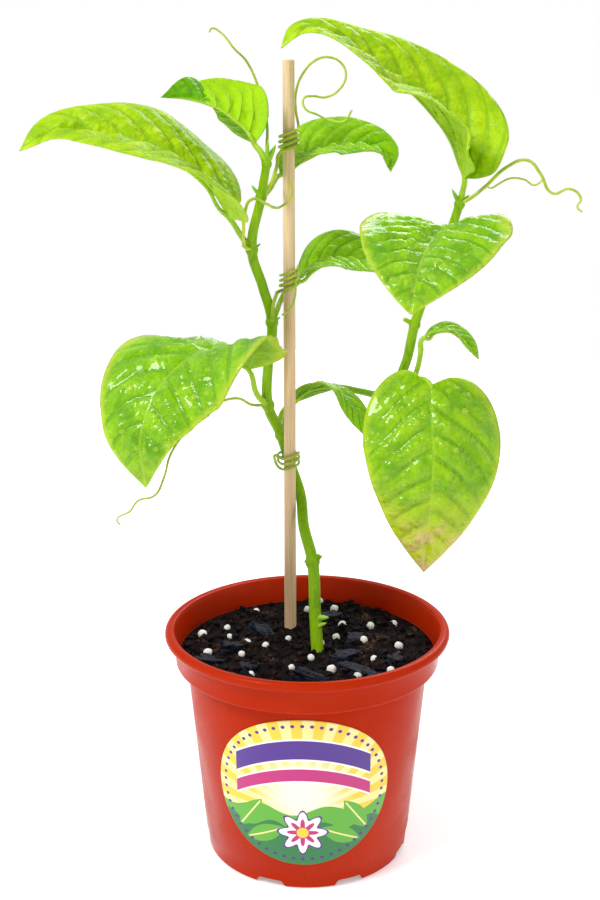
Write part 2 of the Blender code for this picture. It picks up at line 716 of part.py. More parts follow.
def stipule(
    name: str, node: Vector, lean: Vector, length: float, radius: float
) -> bpy.types.Object:
    """Make one small pointed stipule or bud that grows from a node."""
    tip = node + lean.normalized() * length
    middle = node.lerp(tip, 0.45)
    return tube(name, [node, middle, tip], [radius * 0.8, radius, 0.12 * MM], steps=1)


STIPULES = (
    (NODE_TOP, mm(0.6, -2.5, 9), 10.5 * MM, 1.1 * MM),
    (NODE_TOP, mm(3.4, -0.5, 7), 9 * MM, 1.3 * MM),
    (NODE_TOP, mm(2.2, 1.5, 5), 6 * MM, 1.2 * MM),
    (NODE_FIVE, mm(-4, -1, 5), 6.5 * MM, 0.9 * MM),
    (NODE_FOUR, mm(-5, -3, 2.5), 5.5 * MM, 0.8 * MM),
    (NODE_FOUR, mm(4, -1, 3), 5 * MM, 0.8 * MM),
    (NODE_TWO, mm(-4, 1.2, 4.2), 6.0 * MM, 0.9 * MM),
    (NODE_THREE, mm(3, -1.5, 2), 5 * MM, 0.9 * MM),
    (NODE_SHOOT_TOP, mm(-3.2, -1, 6), 7.5 * MM, 1.0 * MM),
    (NODE_SHOOT_TOP, mm(4.5, 1.5, 4), 6 * MM, 1.0 * MM),
    (NODE_LOW, mm(4.5, -1.5, 3.5), 6 * MM, 1.3 * MM),
    (NODE_LOW, mm(-4, -2, 1), 4.5 * MM, 1.3 * MM),
    (mm(3.7, -2.8, 112), mm(6, -3, 1.5), 7 * MM, 1.5 * MM),
    (mm(4.0, -4.0, 108), mm(5, -3, 3.5), 6.5 * MM, 1.2 * MM),
)


def make_vine() -> None:
    """Make the vine: main stem, side shoot, swollen nodes, leaf stubs, buds and stipules."""
    green = material("green_stem", (0.12, 0.33, 0.01), 0.5)
    places, radii = zip(*MAIN_STEM)
    parts = [tube("vine_stem", places, radii, steps=2, round_steps=2)]
    places, radii = zip(*SIDE_SHOOT)
    parts.append(tube("shoot", places, radii, steps=2))
    for i, (place, radius) in enumerate(SWELLS):
        parts.append(ball(f"swell_{i}", place, radius * NODE_SWELL, SWELL_SQUASH))
    for leaf in LEAVES:
        end = toward(leaf.node, leaf.petiole[0], STUB_LENGTH)
        parts.append(tube(leaf.name + "_stub", [leaf.node, end], STUB_RADII, steps=1))
    for tendril in TENDRILS + COILS:
        end = toward(tendril.node, tendril.route[0], TENDRIL_STUB)
        parts.append(tube(tendril.name + "_stub", [tendril.node, end], TENDRIL_STUB_RADII, steps=1))
    for i, (place, goal) in enumerate(SMALL_STUBS):
        parts.append(tube(f"cut_stub_{i}", [place, goal], CUT_STUB_RADII, steps=1))
    for i, (place, lean, length, radius) in enumerate(STIPULES):
        parts.append(stipule(f"stipule_{i}", place, lean, length, radius))
    vine = fuse("vine_stem", parts, green)
    vine.data.shade_smooth()
    vine.data.set_sharp_from_angle(angle=math.radians(40))


def smooth(points: tuple, share: float) -> Vector:
    """Return a point of the smooth curve through the given points, at a share of its knots."""
    count = len(points) - 1
    place = min(max(share, 0), 1) * count
    index = min(int(place), count - 1)
    part = place - index
    a = points[index - 1] if index else points[0] * 2 - points[1]
    b, c = points[index], points[index + 1]
    d = points[index + 2] if index + 2 <= count else points[-1] * 2 - points[-2]
    slope = c - a
    bend = a * 2 - b * 5 + c * 4 - d
    twist = b * 3 - a - c * 3 + d
    return (b * 2 + slope * part + bend * part**2 + twist * part**3) * 0.5


def three_way(values: tuple, share: float) -> float:
    """Return a value that runs from the base through the middle to the tip."""
    first, middle, last = values
    if share < 0.5:
        return first + (middle - first) * share * 2
    return middle + (last - middle) * (share * 2 - 1)


class BladeSurface:
    """The bent surface of one leaf blade."""

    def __init__(self, leaf: Leaf) -> None:
        """Measure the midrib of a leaf so that shares of its length can be looked up."""
        self.leaf = leaf
        self.knots = [smooth(leaf.midrib, i / SPINE_STEPS) for i in range(SPINE_STEPS + 1)]
        lengths = [0.0]
        for a, b in zip(self.knots, self.knots[1:]):
            lengths.append(lengths[-1] + (b - a).length)
        self.length = lengths[-1]
        self.shares = [value / self.length for value in lengths]

    def spine(self, share: float) -> tuple:
        """Return the midrib's point and direction at a share of its length."""
        inside = min(max(share, 0), 1)
        index = max(i for i in range(SPINE_STEPS) if self.shares[i] <= inside)
        a, b = self.knots[index], self.knots[index + 1]
        part = (inside - self.shares[index]) / (self.shares[index + 1] - self.shares[index])
        ahead = self.knots[min(index + 3, SPINE_STEPS)] - self.knots[max(index - 2, 0)]
        ahead.normalize()
        return a.lerp(b, part) + ahead * (share - inside) * self.length, ahead

    def point(self, row: float, across: float) -> Vector:
        """Return the blade's point at a share of its outline and a signed share of its width."""
        leaf = self.leaf
        right = across > 0
        reach = abs(across)
        lobe = leaf.lobe_right if right else leaf.lobe_left
        edge = smooth([Vector((a * lobe if a < 0 else a, b, 0)) for a, b in leaf.outline], row)
        along = row + (edge.x - row) * reach
        stretch = leaf.width_right if right else leaf.width_left
        width = edge.y * reach * leaf.half_width * stretch
        centre, ahead = self.spine(along)
        inside = min(max(along, 0), 1)
        facing = leaf.facing[0].lerp(leaf.facing[1], inside)
        upward = (facing - ahead * facing.dot(ahead)).normalized()
        side = ahead.cross(upward) * (1 if right else -1)
        lift = math.radians(three_way(leaf.lift_right if right else leaf.lift_left, inside))
        curl = math.radians(leaf.curl_right if right else leaf.curl_left)
        lift += curl * edge.y * reach / 2
        out = side * math.cos(lift) + upward * math.sin(lift)
        normal = upward * math.cos(lift) - side * math.sin(lift)
        return centre + out * width + normal * self.relief(along, reach, edge.y)

    def relief(self, along: float, reach: float, breadth: float) -> float:
        """Return how far the blade swells between its side veins, waves and sinks at the midrib."""
        phase = (along - VEIN_LEAN * reach * breadth) * VEIN_PAIRS
        swell = 0.5 - 0.5 * math.cos(math.tau * phase)
        body = min(1, reach * 4) * (1 - reach**3) * min(1, breadth * 2)
        wave = math.sin(math.tau * (along * 2.3 + 0.2)) * reach**2 * breadth
        return self.leaf.quilt * swell * body + self.leaf.wave * wave


def make_blade(leaf: Leaf) -> bpy.types.Object:
    """Make one blade: a grid bent onto the surface, split into triangles and thickened."""
    surface = BladeSurface(leaf)
    shape = bmesh.new()
    bmesh.ops.create_grid(shape, x_segments=BLADE_COLUMNS, y_segments=BLADE_ROWS, size=1)
    for corner in shape.verts:
        row = (corner.co.y + 1) / 2
        corner.co = surface.point(row, corner.co.x)
    bmesh.ops.remove_doubles(shape, verts=shape.verts, dist=WELD)
    bmesh.ops.triangulate(shape, faces=shape.faces)
    blade = add_object(leaf.name, shape)
    thicken = blade.modifiers.new("Thickness", "SOLIDIFY")
    thicken.thickness = BLADE_THICKNESS
    thicken.offset = 0
    return bake(blade)


def make_leaf(leaf: Leaf, finish: bpy.types.Material) -> None:
    """Make one leaf: its petiole, its midrib and its blade in one body."""
    blade = make_blade(leaf)
    start = toward(leaf.node, leaf.petiole[0], STUB_LENGTH + TOUCH_GAP)
    surface = BladeSurface(leaf)
    rib = [surface.spine(share)[0] for share in (0.12, 0.3)]
    # The first bend of the petiole is passed by where the stub already reaches it
    bends = [p for p in leaf.petiole if (p - leaf.node).length > STUB_LENGTH + STUB_CLEAR]
    route = [start, toward(start, leaf.petiole[0], STRAIGHT_START), *bends, leaf.midrib[0], *rib]
    radii = [STUB_END_RADIUS, *[PETIOLE_RADIUS] * (len(bends) + 2), MIDRIB_RADIUS, MIDRIB_END_RADIUS]
    stalk = tube(leaf.name + "_stalk", route, radii, steps=2)
    made = fuse(leaf.name, [blade, stalk], finish)
    made.data.shade_smooth()


def coil_route(height: float, turns: float, rise: float, start: float) -> list:
    """Return the points of a coil round the stake, which starts at an angle in degrees."""
    count = int(turns * COIL_STEPS)
    points = []
    for i in range(count + 1):
        share = i / count
        angle = math.radians(start) + math.tau * turns * share
        tilt = COIL_TILT * math.cos(angle)
        x = STAKE_X + COIL_REACH * math.cos(angle)
        y = STAKE_Y + COIL_REACH * math.sin(angle)
        points.append(Vector((x, y, height + rise * (share - 0.5) + tilt)))
    return points


COIL_REACH = STAKE_BASE_RADIUS + TOUCH_GAP + TENDRIL_RADIUS + 0.25 * MM
LOW_COIL_CENTRES = ((STAKE_X, STAKE_Y), (-9.4 * MM, 30.2 * MM))
LOW_COIL_REACH = 4.15 * MM
LOW_COIL_BOTTOM = 176.5 * MM
LOW_COIL_RISE = 6 * MM
LOW_COIL_HALF_TURNS = 5
LOW_COIL_TILT = 0.9 * MM
TOP_COIL = tuple(coil_route(323.5 * MM, 3.4, 7.5 * MM, 215))
MIDDLE_COIL = tuple(coil_route(263.3 * MM, 3.5, 8 * MM, 200))

COILS = (
    Tendril(
        "tendril_top_coil", NODE_FIVE,
        (
            mm(-16, 5, 305.5), mm(-13, 12, 313), *TOP_COIL,
            mm(-5, 27, 336), mm(-5, 28, 343), mm(-2, 28, 351),
            mm(4, 26, 357), mm(9, 25, 358), mm(14, 24, 356),
            mm(16.5, 23, 351), mm(14, 22, 345), mm(8, 22, 341.5), mm(2, 21, 342), mm(-1.5, 20, 341),
            mm(-1, 19, 337), mm(4, 18, 334.5), mm(10, 17, 332), mm(16, 16, 332), mm(19, 14.5, 336.5),
        ),
    ),
    Tendril(
        "tendril_middle_coil", NODE_THREE,
        (
            mm(-15.2, 8.8, 248.5), mm(-15, 8.8, 253), mm(-13.6, 12.5, 257.5), *MIDDLE_COIL,
            mm(-5, 16.8, 262), mm(-5.5, 15.5, 256), mm(-7.5, 14, 251), mm(-11, 11.5, 249),
        ),
    ),
)


def low_coil() -> tuple:
    """Return the wraps that tie the stem to the stake: a long loop round both."""
    corners = []
    for half_turn in range(LOW_COIL_HALF_TURNS):
        centre = LOW_COIL_CENTRES[half_turn % 2]
        for step in range(5):
            angle = math.radians(180 * (half_turn + 1) + 45 * step)
            x = centre[0] + LOW_COIL_REACH * math.cos(angle)
            y = centre[1] + LOW_COIL_REACH * math.sin(angle)
            corners.append((x, y, angle))
    points = []
    for i, (x, y, angle) in enumerate(corners):
        share = i / (len(corners) - 1)
        height = LOW_COIL_BOTTOM + LOW_COIL_RISE * share + LOW_COIL_TILT * math.cos(angle)
        points.append(Vector((x, y, height)))
    return tuple(points)


def make_tendril(tendril: Tendril, finish: bpy.types.Material) -> None:
    """Make one tendril: a thin tube from its stub on the vine to its tip."""
    start = toward(tendril.node, tendril.route[0], TENDRIL_STUB + TOUCH_GAP)
    ahead = toward(start, tendril.route[0], STRAIGHT_START)
    past_stub = [p for p in tendril.route if (p - tendril.node).length > TENDRIL_STUB + STUB_CLEAR]
    route = [start, ahead, *past_stub]
    last = len(route) - 1
    radii = [tendril.radius * (1.15 - 0.4 * i / last) for i in range(last + 1)]
    made = tube(tendril.name, route, radii, steps=1 if tendril in COILS else 2)
    made.data.materials.append(finish)
    made.data.shade_smooth()


def make_low_coil(finish: bpy.types.Material) -> None:
    """Make the tendril that binds the stem to the stake; its end curls free on the left."""
    wraps = low_coil()
    curl = (mm(-13.6, 18.5, 178), mm(-14.8, 17.5, 181), mm(-14.6, 17, 183.5), mm(-13.2, 16.5, 182.5))
    route = [*reversed(curl), *wraps]
    radii = [THIN_TENDRIL_RADIUS] + [TENDRIL_RADIUS] * (len(route) - 1)
    made = tube("tendril_lower_coil", route, radii, steps=1)
    made.data.materials.append(finish)


def make_thin_tendril(finish: bpy.types.Material) -> None:
    """Make the thin branch that runs under the long tendril on the right."""
    radii = [BRANCH_RADIUS] * len(THIN_BRANCH)
    made = tube("tendril_right_thin", THIN_BRANCH, radii, steps=2)
    made.data.materials.append(finish)


def main() -> None:
    """Build the whole plant in its pot."""
    clear_scene()
    make_pot()
    make_label()
    make_soil()
    make_stake()
    make_vine()
    blade_green = material("green_leaf", (0.16, 0.42, 0.02), 0.4)
    for leaf in LEAVES:
        make_leaf(leaf, blade_green)
    tendril_green = material("tendril_green", (0.34, 0.52, 0.06), 0.5)
    for tendril in TENDRILS + COILS:
        make_tendril(tendril, tendril_green)
    make_low_coil(tendril_green)
    make_thin_tendril(tendril_green)


main()
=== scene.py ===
"""The looks of a young climbing vine on a bamboo stake, in a round nursery pot.

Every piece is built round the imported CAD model, in metres, +Z up. The origin is the centre
of the pot's flat underside, the viewer's side is -Y, and +X is to the viewer's right.
"""

import logging
import math
import random
from collections.abc import Callable, Sequence
from dataclasses import dataclass, field, replace
from enum import Enum
from functools import partial

import bmesh
import bpy
from mathutils import Matrix, Vector, noise


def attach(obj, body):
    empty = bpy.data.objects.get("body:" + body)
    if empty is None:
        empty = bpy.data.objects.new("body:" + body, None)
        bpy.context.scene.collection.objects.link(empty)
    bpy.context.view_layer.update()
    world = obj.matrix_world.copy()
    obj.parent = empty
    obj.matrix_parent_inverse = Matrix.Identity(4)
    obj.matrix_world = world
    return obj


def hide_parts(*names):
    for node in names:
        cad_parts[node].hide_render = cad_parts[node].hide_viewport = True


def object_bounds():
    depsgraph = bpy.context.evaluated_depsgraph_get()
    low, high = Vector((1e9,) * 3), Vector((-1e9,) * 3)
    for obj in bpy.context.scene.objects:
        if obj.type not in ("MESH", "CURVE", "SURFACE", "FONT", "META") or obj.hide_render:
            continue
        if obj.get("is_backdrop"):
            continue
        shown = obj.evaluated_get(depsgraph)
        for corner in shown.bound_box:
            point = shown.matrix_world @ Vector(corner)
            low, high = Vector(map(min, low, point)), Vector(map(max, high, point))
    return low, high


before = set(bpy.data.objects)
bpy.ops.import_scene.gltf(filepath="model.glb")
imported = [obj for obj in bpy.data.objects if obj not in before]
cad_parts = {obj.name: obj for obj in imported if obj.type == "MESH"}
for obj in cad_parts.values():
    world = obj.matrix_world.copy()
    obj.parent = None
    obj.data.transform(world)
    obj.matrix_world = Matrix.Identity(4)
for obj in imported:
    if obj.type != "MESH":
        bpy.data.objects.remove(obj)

LOG = logging.getLogger("potted_vine")
MM = 0.001
WELD = 1e-6
BODY = "root"
# Settings and inputs that many shader nodes share
SOFT = {"interpolation_type": "SMOOTHSTEP"}
COLOURS = {"data_type": "RGBA"}
NOISE_ROUGHNESS = 0.55
LABEL_WIDTH = 82 * MM
LABEL_HEIGHT = 73.5 * MM
CHIP_SIZE = (12.5 * MM, 8 * MM, 5 * MM)
# Where each chip lies and how far it is turned: millimetres, millimetres, degrees
CHIP_PLACES = (
    (18, -12, 20), (22, -29, -35), (-26, -24, 65), (-31, -41, -20), (31, -36, 15), (24, 8, 30),
    (-34, -2, 40), (-20, 14, -50), (10, 33, 10), (40, -16, 70), (-44, -18, 15), (2, -36, -8),
)
# Where the large beads stand: the share of the length, the share of the width, the radius in mm
RIGHT_WET_BEADS = ((0.45, 0.1, 2.2), (0.35, -0.35, 1.7), (0.7, -0.1, 1.3), (0.3, 0.3, 1.0))
LEFT_WET_BEADS = ((0.5, -0.5, 1.6), (0.42, -0.4, 1.3), (0.6, -0.55, 1.5), (0.5, 0.3, 1.2))


def mm(x: float, y: float, z: float) -> Vector:
    """Return a point given in millimetres as a vector in metres."""
    return Vector((x, y, z)) * MM


def linear(colour: str) -> tuple[float, float, float, float]:
    """Turn an sRGB hex colour into linear light.

    Args:
        colour: The colour as #RRGGBB.

    Returns:
        Red, green, blue and alpha.
    """
    shares = [int(colour[i : i + 2], 16) / 255 for i in (1, 3, 5)]
    light = [s / 12.92 if s <= 0.04045 else ((s + 0.055) / 1.055) ** 2.4 for s in shares]
    return (*light, 1.0)


def add_node(
    tree: bpy.types.NodeTree, kind: str, inputs: dict | tuple = (), out: int | str = 0,
    **settings: object,
) -> bpy.types.NodeSocket | None:
    """Add a shader node, set it up and link what feeds it.

    Args:
        tree: The node tree that takes the node.
        kind: The node's type without its ShaderNode prefix.
        inputs: For each input, by name or in order, a value, a hex colour or an output.
        out: The output that is wanted.
        settings: The node's own settings.

    Returns:
        The output's socket, or nothing where the node has none.
    """
    made = tree.nodes.new("ShaderNode" + kind)
    for name, value in settings.items():
        setattr(made, name, value)
    for name, value in inputs.items() if isinstance(inputs, dict) else enumerate(inputs):
        if isinstance(value, bpy.types.NodeSocket):
            tree.links.new(value, made.inputs[name])
        else:
            made.inputs[name].default_value = linear(value) if isinstance(value, str) else value
    return made.outputs[out] if made.outputs else None


def new_material(name: str) -> tuple[bpy.types.Material, Callable]:
    """Make an empty material.

    Args:
        name: The material's name.

    Returns:
        The material, and the function that adds a node to it.
    """
    made = bpy.data.materials.new(name)
    made.use_nodes = True
    made.node_tree.nodes.clear()
    return made, partial(add_node, made.node_tree)


@dataclass(frozen=True)
class Grain:
    """Soft noise whose lumps have a real size, and the part of its range that shows.

    The stretch is a factor on each axis: a small one draws the lumps out along it.
    """

    size: float
    detail: float = 3
    low: float = 0.0
    high: float = 1.0
    top: float = 1.0
    stretch: tuple[float, float, float] = (1, 1, 1)

    def lumps(self, add: Callable) -> bpy.types.NodeSocket:
        """Draw the noise on the piece's own coordinates.

        Args:
            add: The function that adds a node to the material.

        Returns:
            The noise's socket.
        """
        place = add("TexCoord", out="Object")
        place = add("Mapping", {"Vector": place, "Scale": self.stretch})
        scale = {"Scale": 1 / self.size, "Detail": self.detail, "Roughness": NOISE_ROUGHNESS}
        return add("TexNoise", {"Vector": place, **scale})


@dataclass(frozen=True)
class Finish:
    """A two-toned material: layers of noise for its tone, and one for its relief.

    Where the gloss isn't even, its three numbers are the low end, the high end and the top of
    the roughness that follows the tone.
    """

    name: str
    light: str
    dark: str = ""
    tones: tuple[Grain, ...] = ()
    join: str = "MULTIPLY"
    relief: Grain | None = None
    depth: float = 0.0
    uneven_gloss: tuple[float, float, float] | None = None
    surface: dict = field(default_factory=dict)

    def make(self) -> bpy.types.Material:
        """Lay the tones, the gloss and the relief over the plain colour.

        Returns:
            The material.
        """
        made, add = new_material(self.name)
        surface = {"Base Color": self.light, **self.surface}
        tone = None
        for grain in self.tones:
            layer = (grain.lumps(add), grain.low, grain.high, 0, grain.top)
            share = add("MapRange", layer, **SOFT)
            tone = add("Math", (tone, share), operation=self.join) if tone else share
        if tone:
            surface["Base Color"] = add("Mix", {0: tone, 6: self.light, 7: self.dark}, 2, **COLOURS)
        if self.uneven_gloss:
            low, high, top = self.uneven_gloss
            surface["Roughness"] = add("MapRange", (tone, low, high, 0, top), **SOFT)
        if self.relief:
            height = self.relief.lumps(add)
            surface["Normal"] = add("Bump", {"Height": height, "Distance": self.depth, "Strength": 1.0})
        add("OutputMaterial", (add("BsdfPrincipled", surface),))
        return made


# Injection-moulded polypropylene: an even terracotta red with a satin, waxy sheen
POT_PLASTIC = Finish(
    "terracotta_polypropylene", "#B22806", "#B6320E",
    tones=(Grain(30 * MM, low=0.35, high=0.75, top=0.6),), relief=Grain(0.5 * MM, 2),
    depth=0.02 * MM, uneven_gloss=(-0.6, 1.2, 0.55),
    surface={"IOR": 1.49, "Specular IOR Level": 0.05},
)
# Peat and coir: nearly black, crumbly and damp, with a few browner fibres
POTTING_MIX = Finish(
    "peat_potting_mix", "#191214", "#70503C",
    tones=(Grain(11 * MM, low=0.5, high=0.75), Grain(2.2 * MM, 5, 0.4, 0.7)),
    relief=Grain(2.2 * MM, 5), depth=1.8 * MM,
    surface={"Roughness": 0.6, "Specular IOR Level": 0.04},
)
# Expanded volcanic glass: chalk-white, matt and finely pitted
PERLITE = Finish(
    "expanded_perlite", "#F4F1EC", "#C9C4BC", tones=(Grain(0.7 * MM, low=0.5, high=0.3),),
    relief=Grain(0.7 * MM), depth=0.25 * MM, surface={"Roughness": 0.9},
)
# Composted bark: bluish black, fibrous along its length, damp enough to shine a little
BARK_FIBRES = Grain(1.2 * MM, 4, 0.4, 0.75, stretch=(0.4, 1.6, 1.6))
WET_BARK = Finish(
    "composted_bark", "#10121A", "#2E3548", tones=(BARK_FIBRES,), relief=BARK_FIBRES,
    depth=1.2 * MM, surface={"Roughness": 0.4, "Specular IOR Level": 0.12},
)
# A split and rounded bamboo stick: straw-coloured. A fibre is about forty times as long as wide
BAMBOO_FIBRES = Grain(0.5 * MM, 3, 0.35, 0.7, 0.6, (1, 1, 0.025))
SPLIT_BAMBOO = Finish(
    "split_bamboo", "#EFD2AA", "#D8AD7C", join="ADD",
    tones=(BAMBOO_FIBRES, Grain(3 * MM, 2, 0.4, 0.7, 0.4, (1, 1, 0.06))),
    relief=BAMBOO_FIBRES, depth=0.12 * MM, surface={"Roughness": 0.55},
)
# A living, unripened stem: smooth and waxy, with faint ridges along it
STEM_RIDGES = Grain(1.3 * MM, 3, 0.25, 0.8, stretch=(1, 1, 0.08))
GREEN_STEM = Finish(
    "green_vine_stem", "#8CB804", "#5A9002",
    tones=(Grain(14 * MM, 2, 0.3, 0.7), STEM_RIDGES), relief=STEM_RIDGES, depth=0.25 * MM,
    surface={
        "Roughness": 0.42, "Specular IOR Level": 0.2, "Subsurface Weight": 0.12,
        "Subsurface Radius": (0.4, 0.8, 0.1), "Subsurface Scale": 1.5 * MM,
    },
)
# The same skin on the younger growth is paler and yellower
LEAF_STALK = replace(GREEN_STEM, name="petiole_and_veins", light="#ACD038", dark="#86B41E")
BUD_SKIN = replace(GREEN_STEM, name="bud_skin", light="#9CCB3C", dark="#6EA41C")
# A young tendril: thin, yellow-green and a little translucent
TENDRIL_SKIN = Finish(
    "tendril_skin", "#C4D23C", "#98B422", tones=(Grain(9 * MM, 2, 0.3, 0.7),),
    relief=Grain(0.6 * MM, 2), depth=0.05 * MM,
    surface={
        "Roughness": 0.4, "Subsurface Weight": 0.15, "Subsurface Radius": (0.4, 0.8, 0.1),
        "Subsurface Scale": 1 * MM,
    },
)
# Clear water that stands in beads on the waxy skin: a pale green is painted into it as painted light, in
# place of the leaf's light that shows through the water
WATER = Finish("water_beads", "#C4DC50", surface={"Roughness": 0.02, "IOR": 1.333, "Alpha": 0.3})
# The white paper roll that the pot stands on, so bright that its edge is lost
STUDIO_PAPER = Finish(
    "white_studio_floor", "#FCFCFC",
    surface={"Roughness": 0.9, "Emission Color": "#FFFFFF", "Emission Strength": 0.3},
)


@dataclass(frozen=True)
class LeafSkin:
    """A living leaf: waxy and quilted above, paler and duller below, with pale veins.

    Every start is the share of the length or the width past which a colour sets in.
    """

    name: str
    upper: str
    upper_dark: str
    under: str
    under_dark: str
    vein: str
    margin: str
    tip: str
    tip_start: float = 1.2
    margin_start: float = 0.9
    spot: str = "#B4CC20"
    margin_strength: float = 0.3
    roughness: float = 0.5
    coat: float = 0.0
    pucker: float = 0.9
    vein_width: float = 0.5 * MM
    cell: float = 3.2 * MM

    def make(self, underside: bool) -> bpy.types.Material:
        """Make the skin of one side.

        Args:
            underside: Whether it is the lower side.

        Returns:
            The material.
        """
        made, add = new_material(f"leaf_{self.name}_{'underside' if underside else 'upper'}")
        flat = add("Attribute", out="Vector", attribute_name="flat")
        phase, reach, along = [
            add("Attribute", out="Fac", attribute_name=name) for name in ("phase", "reach", "along")
        ]
        # The lump sizes in millimetres: blotches, wear at the tip, the edge, puckers and pores
        blotches, wear, ragged, pucker, pores = [
            add("TexNoise", {
                "Vector": flat, "Scale": 1 / (size * MM), "Detail": detail,
                "Roughness": NOISE_ROUGHNESS,
            })
            for size, detail in ((12, 5), (14, 4), (9, 4), (5, 2), (0.9, 3))
        ]
        cells = {"Vector": flat, "Scale": 1 / self.cell}
        cells = add("TexVoronoi", cells, "Distance", feature="DISTANCE_TO_EDGE")

        ripple = add("Math", (phase, 0.5), operation="PINGPONG")
        fading = add("MapRange", (reach, 1.0, 0.7, 0, 0.9), **SOFT)
        side_vein = add("MapRange", (ripple, 0.03, 0, 0, fading), **SOFT)
        beside = add("Math", (add("SeparateXYZ", (flat,)),), operation="ABSOLUTE")
        midrib = add("MapRange", (beside, 2 * self.vein_width, 0), **SOFT)
        veins = add("Math", (side_vein, midrib), operation="MAXIMUM")
        veins = add("Math", (veins, 0.6 if underside else 0.55), operation="MULTIPLY")
        # Painted shade: the skin is darkened along the side veins, where the quilted blade dips into
        # creases, more on the upper side than below. The dark tone takes this in beside the random
        # blotches.
        painted_crease_shade = add("MapRange", (ripple, 0.24, 0.02, 0, 0.3 if underside else 0.75), **SOFT)
        tone = add("MapRange", (blotches, 0.34, 0.7, 0, 0.8), **SOFT)
        tone = add("Math", (tone, painted_crease_shade), operation="MAXIMUM")
        # A net along the edges of the small cells, where the relief sinks into grooves: pale minor veins
        # on the underside, and painted shade in the grooves on the upper side.
        vein_net_and_painted_groove_shade = add("MapRange", (cells, 0.12, 0, 0, 0.26), **SOFT)
        rim = add("Math", (ragged, 0.16, reach), operation="MULTIPLY_ADD")
        rim_start = self.margin_start + 0.08
        rim = add("MapRange", (rim, rim_start, rim_start + 0.16, 0, self.margin_strength), **SOFT)
        worn = add("Math", (wear, 0.35, along), operation="MULTIPLY_ADD")
        worn = add("MapRange", (worn, self.tip_start + 0.02, self.tip_start + 0.42), **SOFT)
        yellowed = add("Math", (worn, 0.85), operation="MULTIPLY")
        spots = add("MapRange", (worn, 0.45, 1, 0, 0.85), **SOFT)
        spots = add("MapRange", (ragged, 0.38, 0.7, 0, spots), **SOFT)

        colour, dark = (self.under, self.under_dark) if underside else (self.upper, self.upper_dark)
        layers = (
            (tone, dark), (vein_net_and_painted_groove_shade, self.vein if underside else dark), (veins, self.vein),
            (rim, self.margin), (yellowed, self.tip), (spots, self.spot),
        )
        for share, ink in layers:
            colour = add("Mix", {0: share, 6: colour, 7: ink}, 2, **COLOURS)
        swell = add("MapRange", (cells, 0, 0.35), **SOFT)
        depths = (0.3, 0.05, 0.04) if underside else (self.pucker, 0.2, 0.04)
        normal = {}
        for height, depth in zip((pucker, swell, pores), depths):
            relief = {"Height": height, "Distance": depth * MM, "Strength": 1.0, **normal}
            normal = {"Normal": add("Bump", relief)}
        surface = {
            "Base Color": colour, "Roughness": self.roughness + (0.14 if underside else 0),
            "Coat Weight": 0.0 if underside else self.coat, "Coat Roughness": 0.07,
            "Specular IOR Level": 0.12, "Subsurface Weight": 0.1,
            "Subsurface Radius": (0.9, 1.0, 0.2), "Subsurface Scale": 1.0 * MM, **normal,
        }
        add("OutputMaterial", (add("BsdfPrincipled", surface),))
        return made


class Skin(Enum):
    """The kinds of leaf skin on this vine."""

    YOUNG = LeafSkin(
        "young", upper="#B4D60E", upper_dark="#7CB202", under="#B4DA30", under_dark="#98C418",
        vein="#BCD848", margin="#C4DC50", tip="#B2D42A", roughness=0.48, coat=0.05,
    )
    TOP = LeafSkin(
        "top", upper="#78BC08", upper_dark="#55A004", under="#A2D404", under_dark="#94C804",
        vein="#B2DC1E", margin="#9CCB30", tip="#78BC08", roughness=0.42,
    )
    SHADED = LeafSkin(
        "shaded", upper="#A0D010", upper_dark="#68AC06", under="#86B634", under_dark="#6FA41E",
        vein="#A9CC6A", margin="#A4C85A", tip="#5C9E30", roughness=0.4, coat=0.15,
    )
    WET = LeafSkin(
        "wet", upper="#92C80A", upper_dark="#529600", under="#94C030", under_dark="#78A81A",
        vein="#A8CC4A", margin="#C6D440", tip="#BCD030", tip_start=0.95, margin_start=0.82,
        margin_strength=0.6, roughness=0.42, coat=0.45, pucker=1.3,
    )
    AGEING = LeafSkin(
        "ageing", upper="#98C602", upper_dark="#5C9C00", under="#94C030", under_dark="#78A81A",
        vein="#A4D02C", margin="#BCD42C", tip="#C2CC26", tip_start=0.62, margin_start=0.84,
        spot="#D2A882", margin_strength=0.6, roughness=0.42, coat=0.45, pucker=1.3,
    )


# The grid, the veins and the thickness of every blade
BLADE_THICKNESS = 0.5 * MM
BLADE_ROWS = 116
BLADE_COLUMNS = 56
SPINE_STEPS = 60
VEIN_PAIRS = 8
VEIN_LEAN = 0.15
VEIN_BEND = 0.17
PETIOLE_RADIUS = 1.25 * MM
PETIOLE_BASE_RADIUS = 1.7 * MM
MIDRIB_RADIUS = 0.8 * MM
STUB_LENGTH = 5 * MM
STUB_BASE_RADIUS = 1.8 * MM
CUT_STUB_BASE_RADIUS = 1.2 * MM
CUT_STUB_END_RADIUS = 1 * MM
# A bud's outline: shares of its length and of its radius
BUD_PROFILE = ((0, 0.75), (0.3, 1.0), (0.6, 0.8), (0.85, 0.45), (1, 0.08))
# Half of the flat outline, from the petiole to the tip, as shares of the length and the half width
HEART = (
    (0, 0), (-1, 0.32), (-0.6, 0.64), (0.08, 0.90), (0.27, 1.0),
    (0.5, 0.88), (0.72, 0.6), (0.88, 0.28), (1, 0),
)
WEDGE = (
    (0, 0), (0.07, 0.28), (0.15, 0.6), (0.25, 0.86), (0.37, 1.0),
    (0.55, 0.9), (0.74, 0.6), (0.89, 0.28), (1, 0),
)
TENDRIL_RADIUS = 0.62 * MM
THIN_TENDRIL_RADIUS = 0.5 * MM
BRANCH_RADIUS = 0.42 * MM
# How far one half's side veins are shifted against the other's, and how much they sway
VEIN_SHIFT = 0.38
VEIN_SWAY = 0.16
VEIN_ROWS = 121
VEIN_RADIUS = 0.36 * MM
VEIN_SINK = 0.62 * BLADE_THICKNESS
# How closely a vein is traced outwards from the midrib, as shares of the half width
VEIN_START = 0.02
VEIN_STEP = 0.13
